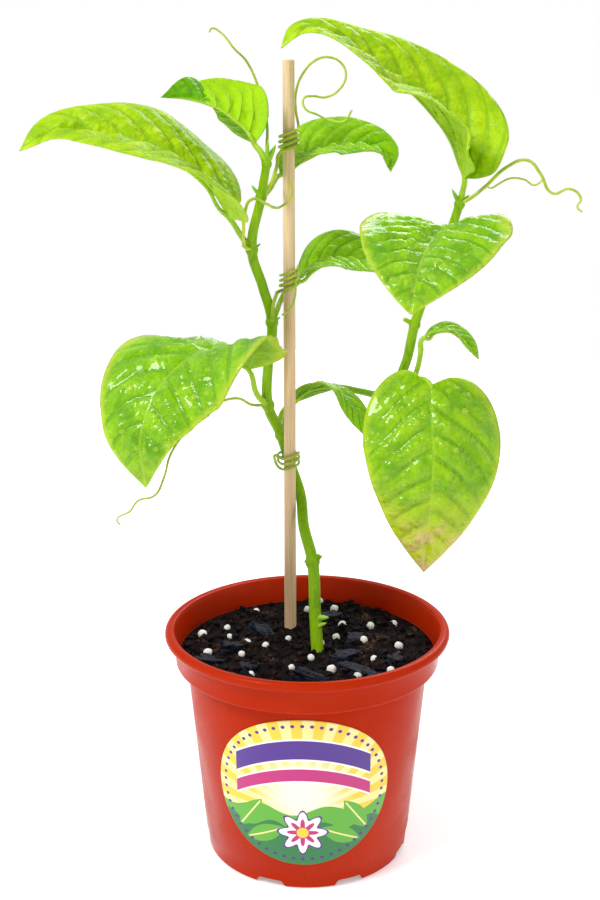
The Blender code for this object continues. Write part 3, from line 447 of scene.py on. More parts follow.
# What the side veins, the puffs between them and the broad lumps add to the quilting
QUILT_SHARES = (3.6, 4.6, 0.8)
PUFF_SIZE = 4.2 * MM
LUMP_SIZE = 9 * MM
# How many waves the margin has along the blade, and the size of its small ruffles
EDGE_WAVES = 2.3
RUFFLE_SIZE = 11 * MM
# Where the midrib's points lie, how far it sinks into the blade, and its root's drop
RIB_SHARES = (0.06, 0.16, 0.28, 0.42, 0.56, 0.7, 0.83, 0.93, 0.985)
RIB_SINK = 0.12 * MM
RIB_ROOT_DROP = 0.9 * MM
COIL_STEPS = 8
COIL_TILT = 1.2 * MM
STAKE_X = -8 * MM
STAKE_Y = 22 * MM
STAKE_BASE_RADIUS = 2.85 * MM
TOUCH_GAP = 0.3 * MM

# Nodes of the vine, from the soil to the top, and those of its side shoot
MAIN_STEM = (
    (mm(7.8, -20, 50), 2.9 * MM),
    (mm(5.8, -11.4, 80), 2.9 * MM),
    (mm(5, -8, 92), 2.9 * MM),
    (mm(3.6, -2, 113), 2.8 * MM),
    (mm(2.4, 6, 136), 2.7 * MM),
    (mm(-1.6, 15, 150), 2.6 * MM),
    (mm(-3.2, 25.8, 162), 2.5 * MM),
    (mm(-8.8, 30.5, 178), 2.4 * MM),
    (mm(-12.5, 28, 191), 2.5 * MM),
    (mm(-17.8, 20, 206.2), 2.4 * MM),
    (mm(-17.5, 16.5, 226), 2.3 * MM),
    (mm(-15.6, 14, 245.4), 2.3 * MM),
    (mm(-19.5, 10, 262), 2.2 * MM),
    (mm(-23.8, 6, 278.2), 2.2 * MM),
    (mm(-19.5, 2, 301.1), 2.0 * MM),
    (mm(-17, 0, 315), 1.8 * MM),
)
SIDE_SHOOT = (
    (mm(-10.5, 30, 184), 1.5 * MM),
    (mm(-10.5, 38, 189.5), 1.5 * MM),
    (mm(-9.5, 46, 196.5), 1.5 * MM),
    (mm(-4, 51.5, 202), 1.5 * MM),
    (mm(5, 54, 205.5), 1.5 * MM),
    (mm(15, 54, 206.5), 1.5 * MM),
    (mm(25, 50, 205.5), 1.6 * MM),
    (mm(33, 40, 206.5), 1.8 * MM),
    (mm(39, 29, 212.5), 2.0 * MM),
    (mm(44, 20, 225), 2.2 * MM),
    (mm(48, 15, 246), 2.2 * MM),
    (mm(55, 9, 268), 2.1 * MM),
    (mm(62, 4.5, 289), 2.0 * MM),
    (mm(64.5, 3, 298), 1.9 * MM),
)
STEM_FOOT = MAIN_STEM[2][0]
NODE_LOW = mm(2.4, 6, 136)
NODE_BEHIND = mm(-12, 28.5, 190)
NODE_TWO = mm(-17.8, 20, 206.2)
NODE_THREE = mm(-15.6, 14, 245.4)
NODE_FOUR = mm(-23.8, 6, 278.2)
NODE_FIVE = mm(-19.5, 2, 301.1)
NODE_TOP = mm(-17, 0, 315)
NODE_SHOOT_LOW = mm(39, 29, 212.5)
NODE_SHOOT_MID = mm(47.5, 15.5, 244)
NODE_SHOOT_DRAPED = mm(60.5, 5.5, 284.5)
NODE_SHOOT_TOP = mm(64.5, 3, 298)
NODE_SWELL = 1.28
SWELLS = (
    (NODE_LOW, 2.7 * MM),
    (NODE_BEHIND, 2.5 * MM),
    (NODE_TWO, 2.4 * MM),
    (NODE_THREE, 2.3 * MM),
    (NODE_FOUR, 2.2 * MM),
    (NODE_FIVE, 2.0 * MM),
    (NODE_TOP, 1.8 * MM),
    (NODE_SHOOT_LOW, 2.0 * MM),
    (NODE_SHOOT_MID, 2.1 * MM),
    (NODE_SHOOT_DRAPED, 2.0 * MM),
    (NODE_SHOOT_TOP, 1.9 * MM),
)


@dataclass(frozen=True)
class Leaf:
    """One leaf: where its petiole leaves the vine and how its blade hangs.

    The lifts are degrees by which each half rises from the midrib towards the upper side, at
    the base, the middle and the tip. Right is to the right of someone walking from the
    petiole to the tip on the upper side.
    """

    name: str
    node: Vector
    petiole: tuple
    midrib: tuple
    half_width: float
    facing: tuple
    lift_right: tuple
    lift_left: tuple
    curl_right: float = 0.0
    curl_left: float = 0.0
    lobe_right: float = 0.05
    lobe_left: float = 0.05
    quilt: float = 0.5 * MM
    wave: float = 0.6 * MM
    outline: tuple = HEART
    width_left: float = 1.0
    width_right: float = 1.0
    skin: Skin = Skin.SHADED


@dataclass(frozen=True)
class Tendril:
    """One tendril: where it leaves the vine, and the points that it passes through."""

    name: str
    node: Vector
    route: tuple
    radius: float = TENDRIL_RADIUS


LEAVES = (
    Leaf(
        "leaf_top_right", NODE_SHOOT_TOP,
        (mm(65.5, 1.5, 303.5),),
        (
            mm(66, 0, 309), mm(63, 3, 320), mm(56, 5, 331), mm(45, 5, 343),
            mm(26, 1, 357), mm(8, -5, 367), mm(-3.5, -9, 368), mm(-10.5, -12, 361.5),
        ),
        27 * MM, (Vector((0, -0.25, 1)), Vector((0, -0.1, 1))), (68, 47, 22), (75, -8, 0),
        curl_right=-20, lobe_right=0.02, lobe_left=0.0, width_right=0.92,
        skin=Skin.YOUNG,
    ),
    Leaf(
        "leaf_left", NODE_FOUR,
        (mm(-28, 5, 284),),
        (
            mm(-33, 3, 292), mm(-42, -1, 306), mm(-59, -8, 320), mm(-78, -14, 327),
            mm(-101, -20, 329), mm(-115, -26, 322),
        ),
        29 * MM, (Vector((0, -0.1, 1)), Vector((0, 0, 1))), (36, 38, 38), (12, -10, -10),
        curl_right=-12, lobe_right=0.0, lobe_left=0.0,
        skin=Skin.YOUNG,
    ),
    Leaf(
        "leaf_top_left", NODE_TOP,
        (mm(-19.5, 0, 320),),
        (
            mm(-22, 1, 323), mm(-25, 3, 328), mm(-31, 5, 333), mm(-39, 7, 338),
            mm(-50, 7, 341), mm(-61, 5, 342),
        ),
        21 * MM, (Vector((0, 1, 0)), Vector((0, 1, 0.2))), (75, 68, 195), (0, 55, 80),
        outline=WEDGE, width_right=0.95, quilt=0.3 * MM, wave=0.3 * MM,
        skin=Skin.TOP,
    ),
    Leaf(
        "leaf_upper_behind", NODE_FIVE,
        (mm(-16, 10, 304), mm(-14.5, 20, 306)),
        (
            mm(-12, 29, 308), mm(-4, 34, 313), mm(10, 38, 319), mm(23, 38, 320),
            mm(34, 36, 317), mm(37, 34, 309),
        ),
        20 * MM, (Vector((0, 0, 1)), Vector((0.2, 0, 1))), (35, -8, 0), (25, 38, 70),
        outline=WEDGE,
    ),
    Leaf(
        "leaf_middle_behind", NODE_THREE,
        (mm(-13.5, 20, 249.5), mm(-12, 27, 252.5), mm(-9, 32, 257)),
        (
            mm(-5.5, 34, 260), mm(1.5, 35, 264.5), mm(10, 36, 269), mm(20, 36, 270),
            mm(32, 34, 266), mm(40, 31, 260),
        ),
        20 * MM, (Vector((0, 0, 1)), Vector((0.2, 0, 1))), (30, -8, 0), (22, 34, 30),
        outline=WEDGE,
    ),
    Leaf(
        "leaf_right_wet", NODE_SHOOT_DRAPED,
        (mm(59, 1, 288),),
        (
            mm(57, -6, 289.3), mm(52.5, -17, 287), mm(47, -34, 282), mm(43, -49, 275),
            mm(41, -56, 268), mm(40, -61, 262),
        ),
        30 * MM, (Vector((0, 0, 1)), Vector((0, -0.6, 1))), (12, 11, 0), (15, 9, 0),
        width_left=1.12,
        skin=Skin.WET,
    ),
    Leaf(
        "leaf_heart", NODE_SHOOT_LOW,
        (mm(41, 17, 212), mm(47.5, 5, 221.5)),
        (
            mm(53.5, -4, 221), mm(53.5, -13, 209), mm(54, -20, 194), mm(53.5, -22, 178),
            mm(52.5, -20, 160), mm(51.5, -14, 138.5),
        ),
        30.5 * MM, (Vector((0, -1, 0.3)), Vector((0, -1, 0))), (-8, -6, -8), (-8, -6, -8),
        curl_right=-10, curl_left=-10, lobe_right=0.09, lobe_left=0.05,
        skin=Skin.AGEING,
    ),
    Leaf(
        "leaf_folded", NODE_BEHIND,
        (mm(-13, 33, 195),),
        (
            mm(-9, 36.5, 202), mm(-3, 38.5, 207), mm(5, 39, 210), mm(12, 37.5, 210.5),
            mm(19, 35.5, 204.5), mm(26, 32.5, 195), mm(33, 30, 184),
        ),
        12.5 * MM, (Vector((0, 0.7, 0.75)), Vector((0.7, -0.8, 0.5))), (0, 0, 0), (0, 0, 0),
        outline=WEDGE, quilt=0.3 * MM, wave=0.3 * MM,
    ),
    Leaf(
        "leaf_left_wet", NODE_TWO,
        (mm(-22.7, 12, 213.5),),
        (
            mm(-26, 9, 225), mm(-36, 4, 234), mm(-50, -8, 234), mm(-63, -20, 223),
            mm(-69, -28, 209), mm(-70, -32, 197), mm(-68, -32, 183),
        ),
        35 * MM, (Vector((0, -0.3, 1)), Vector((-0.3, -1, 0.2))), (-26, -8, -10), (60, 6, 0),
        lobe_right=0.0, lobe_left=0.02,
        skin=Skin.WET,
    ),
    Leaf(
        "leaf_small_right", NODE_SHOOT_LOW,
        (mm(46.5, 26.5, 214), mm(49.5, 20, 223), mm(50.5, 16, 231)),
        (mm(51.5, 15, 238), mm(57, 15, 241), mm(64, 15, 241), mm(70, 14, 236), mm(76, 12, 229)),
        8 * MM, (Vector((0, 0, 1)), Vector((0, 0, 1))), (10, 10, 0), (15, 20, 60),
        outline=WEDGE, quilt=0.2 * MM, wave=0.2 * MM,
    ),
)

TENDRILS = (
    Tendril(
        "tendril_top_thin", NODE_TOP,
        (
            mm(-17, 4.5, 320.5), mm(-17.5, 17, 333), mm(-20.5, 21, 344.5), mm(-25.5, 18.5, 356),
            mm(-30.5, 11, 361.5), mm(-36, 9, 368), mm(-39.5, 8, 369.5), mm(-40.5, 7, 368),
        ),
        radius=THIN_TENDRIL_RADIUS,
    ),
    Tendril(
        "tendril_hook", NODE_FOUR,
        (
            mm(-26.8, -1, 281.2), mm(-26.8, -4, 288), mm(-26.2, -4.5, 295), mm(-23, -5.5, 301),
            mm(-17.5, -4.5, 299), mm(-14, 4, 296.5), mm(-10.5, 13, 296.5), mm(-7.5, 15.5, 299),
            mm(-6.5, 15.7, 303), mm(-8, 15.5, 307),
        ),
    ),
    Tendril(
        "tendril_hanging", NODE_TWO,
        (
            mm(-25, 17.5, 207), mm(-31, 13, 211), mm(-39, 9, 210), mm(-50, 4, 202),
            mm(-60, -4, 190), mm(-63, -8, 180), mm(-67, -11, 173), mm(-74, -12, 171),
            mm(-78, -12, 166), mm(-83.5, -13, 162.5), mm(-82, -14, 160.5),
        ),
        radius=THIN_TENDRIL_RADIUS,
    ),
    Tendril(
        "tendril_right_long", NODE_SHOOT_TOP,
        (
            mm(69, 0, 301), mm(75, -1, 306), mm(83, -4, 314), mm(91, -6, 317),
            mm(96, -10, 312), mm(101, -12, 304), mm(108, -15, 306), mm(112, -17, 302),
            mm(110.5, -18, 299), mm(112.5, -18, 297),
        ),
    ),
)
SMALL_STUBS = ((NODE_SHOOT_MID, mm(42.5, 12.5, 247)), (NODE_LOW, mm(5.5, 4, 140)))
THIN_BRANCH = (
    mm(77.5, 0.6, 305), mm(80, 0, 306.5), mm(85, 0, 309),
    mm(91, -1, 308.6), mm(95, -3, 306.5), mm(98.5, -4, 309),
)


STIPULES = (
    (NODE_TOP, mm(0.6, -2.5, 9), 10.5 * MM, 1.1 * MM),
    (NODE_TOP, mm(3.4, -0.5, 7), 9 * MM, 1.3 * MM),
    (NODE_TOP, mm(2.2, 1.5, 5), 6 * MM, 1.2 * MM),
    (NODE_FIVE, mm(-4, -1, 5), 6.5 * MM, 0.9 * MM),
    (NODE_FOUR, mm(-5, -3, 2.5), 5.5 * MM, 0.8 * MM),
    (NODE_FOUR, mm(4, -1, 3), 5 * MM, 0.8 * MM),
    (NODE_TWO, mm(-4, 1.2, 4.2), 6.0 * MM, 0.9 * MM),
    (NODE_THREE, mm(3, -1.5, 2), 5 * MM, 0.9 * MM),
    (NODE_SHOOT_TOP, mm(-3.2, -1, 6), 7.5 * MM, 1.0 * MM),
    (NODE_SHOOT_TOP, mm(4.5, 1.5, 4), 6 * MM, 1.0 * MM),
    (NODE_LOW, mm(4.5, -1.5, 3.5), 6 * MM, 1.3 * MM),
    (NODE_LOW, mm(-4, -2, 1), 4.5 * MM, 1.3 * MM),
    (mm(3.7, -2.8, 112), mm(6, -3, 1.5), 7 * MM, 1.5 * MM),
    (mm(4.0, -4.0, 108), mm(5, -3, 3.5), 6.5 * MM, 1.2 * MM),
)


# The coils round the stake, and the long loop round the stake and the stem
COIL_REACH = STAKE_BASE_RADIUS + TOUCH_GAP + TENDRIL_RADIUS + 0.25 * MM
LOW_COIL_CENTRES = ((STAKE_X, STAKE_Y), (-9.4 * MM, 30.2 * MM))
LOW_COIL_REACH = 4.15 * MM
LOW_COIL_BOTTOM = 176.5 * MM
LOW_COIL_RISE = 6 * MM
LOW_COIL_HALF_TURNS = 5
LOW_COIL_TILT = 0.9 * MM


def coil_route(height: float, turns: float, rise: float, start: float) -> list[Vector]:
    """Wind a coil round the stake.

    Args:
        height: The height of its middle.
        turns: How many turns it has.
        rise: How far it rises in all.
        start: The angle at which it starts, in degrees.

    Returns:
        Its points.
    """
    count = int(turns * COIL_STEPS)
    points = []
    for i in range(count + 1):
        share = i / count
        angle = math.radians(start) + math.tau * turns * share
        tilt = COIL_TILT * math.cos(angle)
        x = STAKE_X + COIL_REACH * math.cos(angle)
        y = STAKE_Y + COIL_REACH * math.sin(angle)
        points.append(Vector((x, y, height + rise * (share - 0.5) + tilt)))
    return points


TOP_COIL = tuple(coil_route(323.5 * MM, 3.4, 7.5 * MM, 215))
MIDDLE_COIL = tuple(coil_route(263.3 * MM, 3.5, 8 * MM, 200))

COILS = (
    Tendril(
        "tendril_top_coil", NODE_FIVE,
        (
            mm(-16, 5, 305.5), mm(-13, 12, 313), *TOP_COIL,
            mm(-5, 27, 336), mm(-5, 28, 343), mm(-2, 28, 351),
            mm(4, 26, 357), mm(9, 25, 358), mm(14, 24, 356),
            mm(16.5, 23, 351), mm(14, 22, 345), mm(8, 22, 341.5), mm(2, 21, 342), mm(-1.5, 20, 341),
            mm(-1, 19, 337), mm(4, 18, 334.5), mm(10, 17, 332), mm(16, 16, 332), mm(19, 14.5, 336.5),
        ),
    ),
    Tendril(
        "tendril_middle_coil", NODE_THREE,
        (
            mm(-15.2, 8.8, 248.5), mm(-15, 8.8, 253), mm(-13.6, 12.5, 257.5), *MIDDLE_COIL,
            mm(-5, 16.8, 262), mm(-5.5, 15.5, 256), mm(-7.5, 14, 251), mm(-11, 11.5, 249),
        ),
    ),
)


def low_coil() -> tuple[Vector, ...]:
    """Wind the wraps that tie the stem to the stake: a long loop round both.

    Returns:
        Their points.
    """
    corners = []
    for half_turn in range(LOW_COIL_HALF_TURNS):
        centre = LOW_COIL_CENTRES[half_turn % 2]
        for step in range(5):
            angle = math.radians(180 * (half_turn + 1) + 45 * step)
            x = centre[0] + LOW_COIL_REACH * math.cos(angle)
            y = centre[1] + LOW_COIL_REACH * math.sin(angle)
            corners.append((x, y, angle))
    points = []
    for i, (x, y, angle) in enumerate(corners):
        share = i / (len(corners) - 1)
        height = LOW_COIL_BOTTOM + LOW_COIL_RISE * share + LOW_COIL_TILT * math.cos(angle)
        points.append(Vector((x, y, height)))
    return tuple(points)


@dataclass(frozen=True)
class Strand:
    """A run of points with a radius at each, which becomes a round rod."""

    points: Sequence[Vector]
    radii: Sequence[float]


def rods(strands: Sequence[Strand], steps: int, round_steps: int) -> bpy.types.Mesh:
    """Sweep strands into one mesh of smooth rods with closed ends.

    Args:
        strands: The strands.
        steps: How many segments lie between two points of a strand.
        round_steps: How finely a quarter of the section is divided.

    Returns:
        The mesh.
    """
    curve = bpy.data.curves.new("rods", "CURVE")
    curve.dimensions = "3D"
    curve.bevel_depth = 1.0
    curve.bevel_resolution = round_steps
    curve.resolution_u = steps
    curve.use_fill_caps = True
    for strand in strands:
        spline = curve.splines.new("BEZIER")
        spline.bezier_points.add(len(strand.points) - 1)
        for knot, place, radius in zip(spline.bezier_points, strand.points, strand.radii):
            knot.co = place
            knot.radius = radius
            knot.handle_left_type = "AUTO"
            knot.handle_right_type = "AUTO"
    holder = bpy.data.objects.new("rods", curve)
    bpy.context.scene.collection.objects.link(holder)
    bpy.context.view_layer.update()
    graph = bpy.context.evaluated_depsgraph_get()
    made = bpy.data.meshes.new_from_object(holder.evaluated_get(graph))
    bpy.data.objects.remove(holder, do_unlink=True)
    return made


def add_object(
    name: str, shape: bmesh.types.BMesh, finishes: Sequence[bpy.types.Material]
) -> bpy.types.Object:
    """Make a smooth-shaded scene object of a bmesh and free the bmesh.

    Args:
        name: The object's name.
        shape: The finished shape.
        finishes: Its materials, in the order of its material indices.

    Returns:
        The object.
    """
    data = bpy.data.meshes.new(name)
    shape.to_mesh(data)
    shape.free()
    made = bpy.data.objects.new(name, data)
    bpy.context.scene.collection.objects.link(made)
    for finish in finishes:
        data.materials.append(finish)
    data.shade_smooth()
    return made


def bake(obj: bpy.types.Object) -> bpy.types.Object:
    """Replace an object's mesh by what its modifiers make of it.

    Args:
        obj: The object.

    Returns:
        The same object.
    """
    graph = bpy.context.evaluated_depsgraph_get()
    graph.update()
    made = bpy.data.meshes.new_from_object(obj.evaluated_get(graph))
    obj.modifiers.clear()
    obj.data = made
    return obj


def gather(shape: bmesh.types.BMesh, part: bmesh.types.BMesh) -> None:
    """Add a part to a larger shape and free it.

    Args:
        shape: The shape that grows.
        part: The part.
    """
    data = bpy.data.meshes.new("part")
    part.to_mesh(data)
    part.free()
    shape.from_mesh(data)
    bpy.data.meshes.remove(data)


def place_piece(obj: bpy.types.Object, slot: str, *nodes: str) -> None:
    """Set a finished piece on the frame and report it.

    Args:
        obj: The piece.
        slot: Not used.
        nodes: The CAD nodes that it stands for.
    """
    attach(obj, BODY)
    if nodes:
        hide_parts(*nodes)
    LOG.info("%s: %d faces", obj.name, len(obj.data.polygons))


def smooth(points: Sequence[Vector], share: float) -> Vector:
    """Follow the smooth curve through points.

    Args:
        points: The curve's knots.
        share: How far along the knots, from zero to one.

    Returns:
        The curve's point.
    """
    count = len(points) - 1
    place = min(max(share, 0), 1) * count
    index = min(int(place), count - 1)
    part = place - index
    a = points[index - 1] if index else points[0] * 2 - points[1]
    b, c = points[index], points[index + 1]
    d = points[index + 2] if index + 2 <= count else points[-1] * 2 - points[-2]
    slope = c - a
    bend = a * 2 - b * 5 + c * 4 - d
    twist = b * 3 - a - c * 3 + d
    return (b * 2 + slope * part + bend * part**2 + twist * part**3) * 0.5


def three_way(values: tuple, share: float) -> float:
    """Return a value that runs from the base through the middle to the tip.

    Args:
        values: The values at the base, the middle and the tip.
        share: How far along, from zero to one.

    Returns:
        The value there.
    """
    first, middle, last = values
    if share < 0.5:
        return first + (middle - first) * share * 2
    return middle + (last - middle) * (share * 2 - 1)


class Blade:
    """The bent surface of one leaf blade, its veins and its stalk."""

    def __init__(self, leaf: Leaf) -> None:
        """Measure the midrib of a leaf so that shares of its length can be looked up.

        Args:
            leaf: The leaf.
        """
        self.leaf = leaf
        self.knots = [smooth(leaf.midrib, i / SPINE_STEPS) for i in range(SPINE_STEPS + 1)]
        lengths = [0.0]
        for a, b in zip(self.knots, self.knots[1:]):
            lengths.append(lengths[-1] + (b - a).length)
        self.length = lengths[-1]
        self.shares = [value / self.length for value in lengths]
        self.outlines = [
            [Vector((a * lobe if a < 0 else a, b, 0)) for a, b in leaf.outline]
            for lobe in (leaf.lobe_left, leaf.lobe_right)
        ]

    def spine(self, share: float) -> tuple[Vector, Vector]:
        """Look up the midrib.

        Args:
            share: The share of its length.

        Returns:
            The midrib's point and its direction there.
        """
        inside = min(max(share, 0), 1)
        index = max(i for i in range(SPINE_STEPS) if self.shares[i] <= inside)
        a, b = self.knots[index], self.knots[index + 1]
        part = (inside - self.shares[index]) / (self.shares[index + 1] - self.shares[index])
        ahead = self.knots[min(index + 3, SPINE_STEPS)] - self.knots[max(index - 2, 0)]
        ahead.normalize()
        return a.lerp(b, part) + ahead * (share - inside) * self.length, ahead

    def flat(self, row: float, across: float) -> tuple[float, float, float, float]:
        """Work out where a point lies on the flat blade.

        Args:
            row: The share of the outline from the stalk to the tip.
            across: The signed share of the width, positive to the right.

        Returns:
            The share of the length, the width there in metres, the outline's breadth as a
            share, and the count of side veins passed.
        """
        leaf = self.leaf
        right = across > 0
        reach = abs(across)
        edge = smooth(self.outlines[right], row)
        along = row + (edge.x - row) * reach
        stretch = leaf.width_right if right else leaf.width_left
        width = edge.y * reach * leaf.half_width * stretch
        forward = (VEIN_LEAN + VEIN_BEND * reach) * reach * edge.y
        # The side veins of one half leave the midrib between those of the other
        shift = VEIN_SHIFT if right else 0.0
        sway = VEIN_SWAY * noise.noise(Vector((along * 5, shift * 20 + 3, leaf.half_width / MM)))
        phase = (along - forward) * VEIN_PAIRS + shift + sway
        return along, width, edge.y, phase

    def place(self, row: float, across: float) -> tuple[Vector, Vector]:
        """Bend a point of the flat blade into its place.

        Args:
            row: The share of the outline from the stalk to the tip.
            across: The signed share of the width, positive to the right.

        Returns:
            The point, and the upper side's direction there.
        """
        leaf = self.leaf
        right = across > 0
        reach = abs(across)
        along, width, breadth, phase = self.flat(row, across)
        centre, ahead = self.spine(along)
        inside = min(max(along, 0), 1)
        facing = leaf.facing[0].lerp(leaf.facing[1], inside)
        upward = (facing - ahead * facing.dot(ahead)).normalized()
        side = ahead.cross(upward) * (1 if right else -1)
        lift = math.radians(three_way(leaf.lift_right if right else leaf.lift_left, inside))
        curl = math.radians(leaf.curl_right if right else leaf.curl_left)
        lift += curl * breadth * reach / 2
        out = side * math.cos(lift) + upward * math.sin(lift)
        normal = upward * math.cos(lift) - side * math.sin(lift)
        height = self.relief(along, width, reach, breadth, phase, right)
        return centre + out * width + normal * height, normal

    def relief(
        self, along: float, width: float, reach: float, breadth: float, phase: float, right: bool
    ) -> float:
        """Work out how far the skin swells between the veins, and how the margin waves.

        Args:
            along: The share of the length.
            width: How far out the point lies, in metres.
            reach: The same as a share of the width there.
            breadth: The outline's breadth as a share.
            phase: The count of side veins passed.
            right: Whether it is the right half.

        Returns:
            The height above the flat blade in metres.
        """
        body = min(1, reach * 5) * (1 - reach**3) * min(1, breadth * 2)
        swell = abs(math.sin(math.pi * phase)) ** 0.7
        spot = Vector((width if right else -width, along * self.length, 0))
        # Between two side veins the cross veins pull the skin down every few millimetres
        puffs = abs(noise.noise(spot / PUFF_SIZE + Vector((0, 0, 9))))
        broad = noise.noise(spot / LUMP_SIZE + Vector((0, 0, 4)))
        wave = math.sin(math.tau * (along * EDGE_WAVES + 0.2)) * reach**2 * breadth
        ruffle = noise.noise(spot / RUFFLE_SIZE) * reach**3 * breadth
        leaf = self.leaf
        by_vein, by_puff, by_lump = QUILT_SHARES
        height = leaf.quilt * (by_vein * swell + by_puff * puffs * swell + by_lump * broad) * body
        return height + leaf.wave * (wave + 0.9 * ruffle)

    def sheet(self, sides: Sequence[bpy.types.Material]) -> bpy.types.Object:
        """Make the thin blade, with the flat blade's measures kept for its skin.

        Args:
            sides: The skins of the upper side and the underside.

        Returns:
            The blade.
        """
        shape = bmesh.new()
        layers = shape.verts.layers
        reach_layer = layers.float.new("reach")
        along_layer = layers.float.new("along")
        phase_layer = layers.float.new("phase")
        flat_layer = layers.float_vector.new("flat")
        bmesh.ops.create_grid(shape, x_segments=BLADE_COLUMNS, y_segments=BLADE_ROWS, size=1)
        shape.normal_update()
        shape.faces.ensure_lookup_table()
        if shape.faces[0].normal.z < 0:
            bmesh.ops.reverse_faces(shape, faces=shape.faces)
        for corner in shape.verts:
            row = (corner.co.y + 1) / 2
            # The columns are closer together beside the midrib, where the skin folds in
            across = math.copysign(abs(corner.co.x) ** 1.25, corner.co.x)
            along, width, _, phase = self.flat(row, across)
            corner[reach_layer] = abs(across)
            corner[along_layer] = along
            corner[phase_layer] = phase
            corner[flat_layer] = Vector((math.copysign(width, across), along * self.length, 0))
            corner.co = self.place(row, across)[0]
        bmesh.ops.remove_doubles(shape, verts=shape.verts, dist=WELD)
        sheet = add_object(self.leaf.name + "_sheet", shape, sides)
        thicken = sheet.modifiers.new("Thickness", "SOLIDIFY")
        thicken.thickness = BLADE_THICKNESS
        thicken.offset = 0
        thicken.material_offset = 1
        return bake(sheet)

    def vein(self, count: int, side: int) -> Strand | None:
        """Trace one side vein along the underside.

        Args:
            count: Which side vein, counted from the stalk.
            side: 1 for the right half, -1 for the left.

        Returns:
            Its strand, or nothing where the outline has no room for it.
        """
        points = []
        for step in range(8):
            reach = VEIN_START + VEIN_STEP * step
            found = None
            for i in range(1, VEIN_ROWS):
                row = i / VEIN_ROWS
                if self.flat(row, side * reach)[3] >= count:
                    found = row
                    break
            if found is None or found > 0.97:
                break
            place, normal = self.place(found, side * reach)
            points.append(place - normal * VEIN_SINK)
        if len(points) < 4:
            return None
        radii = [VEIN_RADIUS * (1 - 0.75 * i / len(points)) for i in range(len(points))]
        return Strand(points, radii)

    def ribs(self) -> list[Strand]:
        """Trace the stalk, the midrib and the side veins.

        Returns:
            Their strands.
        """
        leaf = self.leaf
        rib_radii = [MIDRIB_RADIUS * (1.12 - share) for share in RIB_SHARES]
        rib = []
        for share, radius in zip(RIB_SHARES, rib_radii):
            centre, ahead = self.spine(share)
            facing = leaf.facing[0].lerp(leaf.facing[1], share)
            upward = (facing - ahead * facing.dot(ahead)).normalized()
            deeper = RIB_ROOT_DROP if share < 0.1 else 0.0
            rib.append(centre - upward * (radius - RIB_SINK + deeper))
        bends = list(leaf.petiole)
        route = [leaf.node, *bends, leaf.midrib[0], *rib]
        radii = [PETIOLE_BASE_RADIUS, *[PETIOLE_RADIUS] * len(bends), PETIOLE_RADIUS * 0.9, *rib_radii]
        strands = [Strand(route, radii)]
        for count in range(1, VEIN_PAIRS):
            for side in (-1, 1):
                found = self.vein(count, side)
                if found:
                    strands.append(found)
        return strands

    def build(self, upper: bpy.types.Material, under: bpy.types.Material, rib: bpy.types.Material) -> None:
        """Make the leaf as one piece.

        Args:
            upper: The upper side's skin.
            under: The underside's skin.
            rib: The skin of the stalk and the raised veins.
        """
        sheet = self.sheet((upper, under))
        veins = rods(self.ribs(), steps=5, round_steps=2)
        shape = bmesh.new()
        shape.from_mesh(sheet.data)
        blade_faces = len(shape.faces)
        shape.from_mesh(veins)
        shape.faces.ensure_lookup_table()
        for face in shape.faces[blade_faces:]:
            face.material_index = 2
        bpy.data.objects.remove(sheet, do_unlink=True)
        made = add_object(self.leaf.name + "_skin", shape, (upper, under, rib))
        place_piece(made, "leaf", self.leaf.name)


@dataclass
class Foliage:
    """The ten leaves."""

    leaves: tuple[Leaf, ...] = LEAVES

    def build(self) -> None:
        """Make every leaf in its own skin."""
        rib = LEAF_STALK.make()
        skins = {}
        for leaf in self.leaves:
            if leaf.skin not in skins:
                finish = leaf.skin.value
                skins[leaf.skin] = (finish.make(underside=False), finish.make(underside=True))
            upper, under = skins[leaf.skin]
            Blade(leaf).build(upper, under, rib)


@dataclass
class WaterBeads:
    """Beads of water that stand on the upper side of one leaf."""

    leaf: Leaf
    count: int
    large: tuple[tuple[float, float, float], ...] = ()
    seed: int = 3
    smallest: float = 0.4 * MM
    largest: float = 1.5 * MM
    flatness: float = 0.55
    # Where the bead is cut off to sit on the skin, as a share of its radius
    seat: float = -0.15

    def dome(self, radius: float, narrow: float) -> bmesh.types.BMesh:
        """Make one bead that sits on the XY plane.

        Args:
            radius: Its radius.
            narrow: Its width as a share of its length.

        Returns:
            The bead.
        """
        shape = bmesh.new()
        bmesh.ops.create_icosphere(shape, subdivisions=3 if radius > MM else 2, radius=radius)
        bmesh.ops.bisect_plane(
            shape, geom=[*shape.verts, *shape.edges, *shape.faces],
            plane_co=(0, 0, self.seat * radius), plane_no=(0, 0, 1), clear_inner=True,
        )
        bmesh.ops.holes_fill(shape, edges=[edge for edge in shape.edges if edge.is_boundary])
        bmesh.ops.scale(shape, vec=(1, narrow, self.flatness), verts=shape.verts)
        return shape

    def build(self, water: bpy.types.Material) -> None:
        """Make the beads as one piece.

        Args:
            water: The water.
        """
        blade = Blade(self.leaf)
        draw = random.Random(self.seed)
        shape = bmesh.new()
        spots = [(row, across, radius * MM) for row, across, radius in self.large]
        for _ in range(self.count):
            row = draw.uniform(0.12, 0.85)
            across = draw.uniform(-0.86, 0.86)
            share = draw.random() ** 3
            spots.append((row, across, self.smallest + (self.largest - self.smallest) * share))
        for row, across, radius in spots:
            centre, normal = blade.place(row, across)
            bead = self.dome(radius, draw.uniform(0.8, 1.1))
            turn = normal.to_track_quat("Z", "Y").to_matrix().to_4x4()
            lift = Matrix.Translation(centre + normal * BLADE_THICKNESS / 2)
            bmesh.ops.transform(bead, matrix=lift @ turn, verts=bead.verts)
            gather(shape, bead)
        made = add_object(self.leaf.name + "_water", shape, (water,))
        # Light passes through clear water, so it throws no shadow on the skin below
        made.visible_shadow = False
        place_piece(made, "leaf")


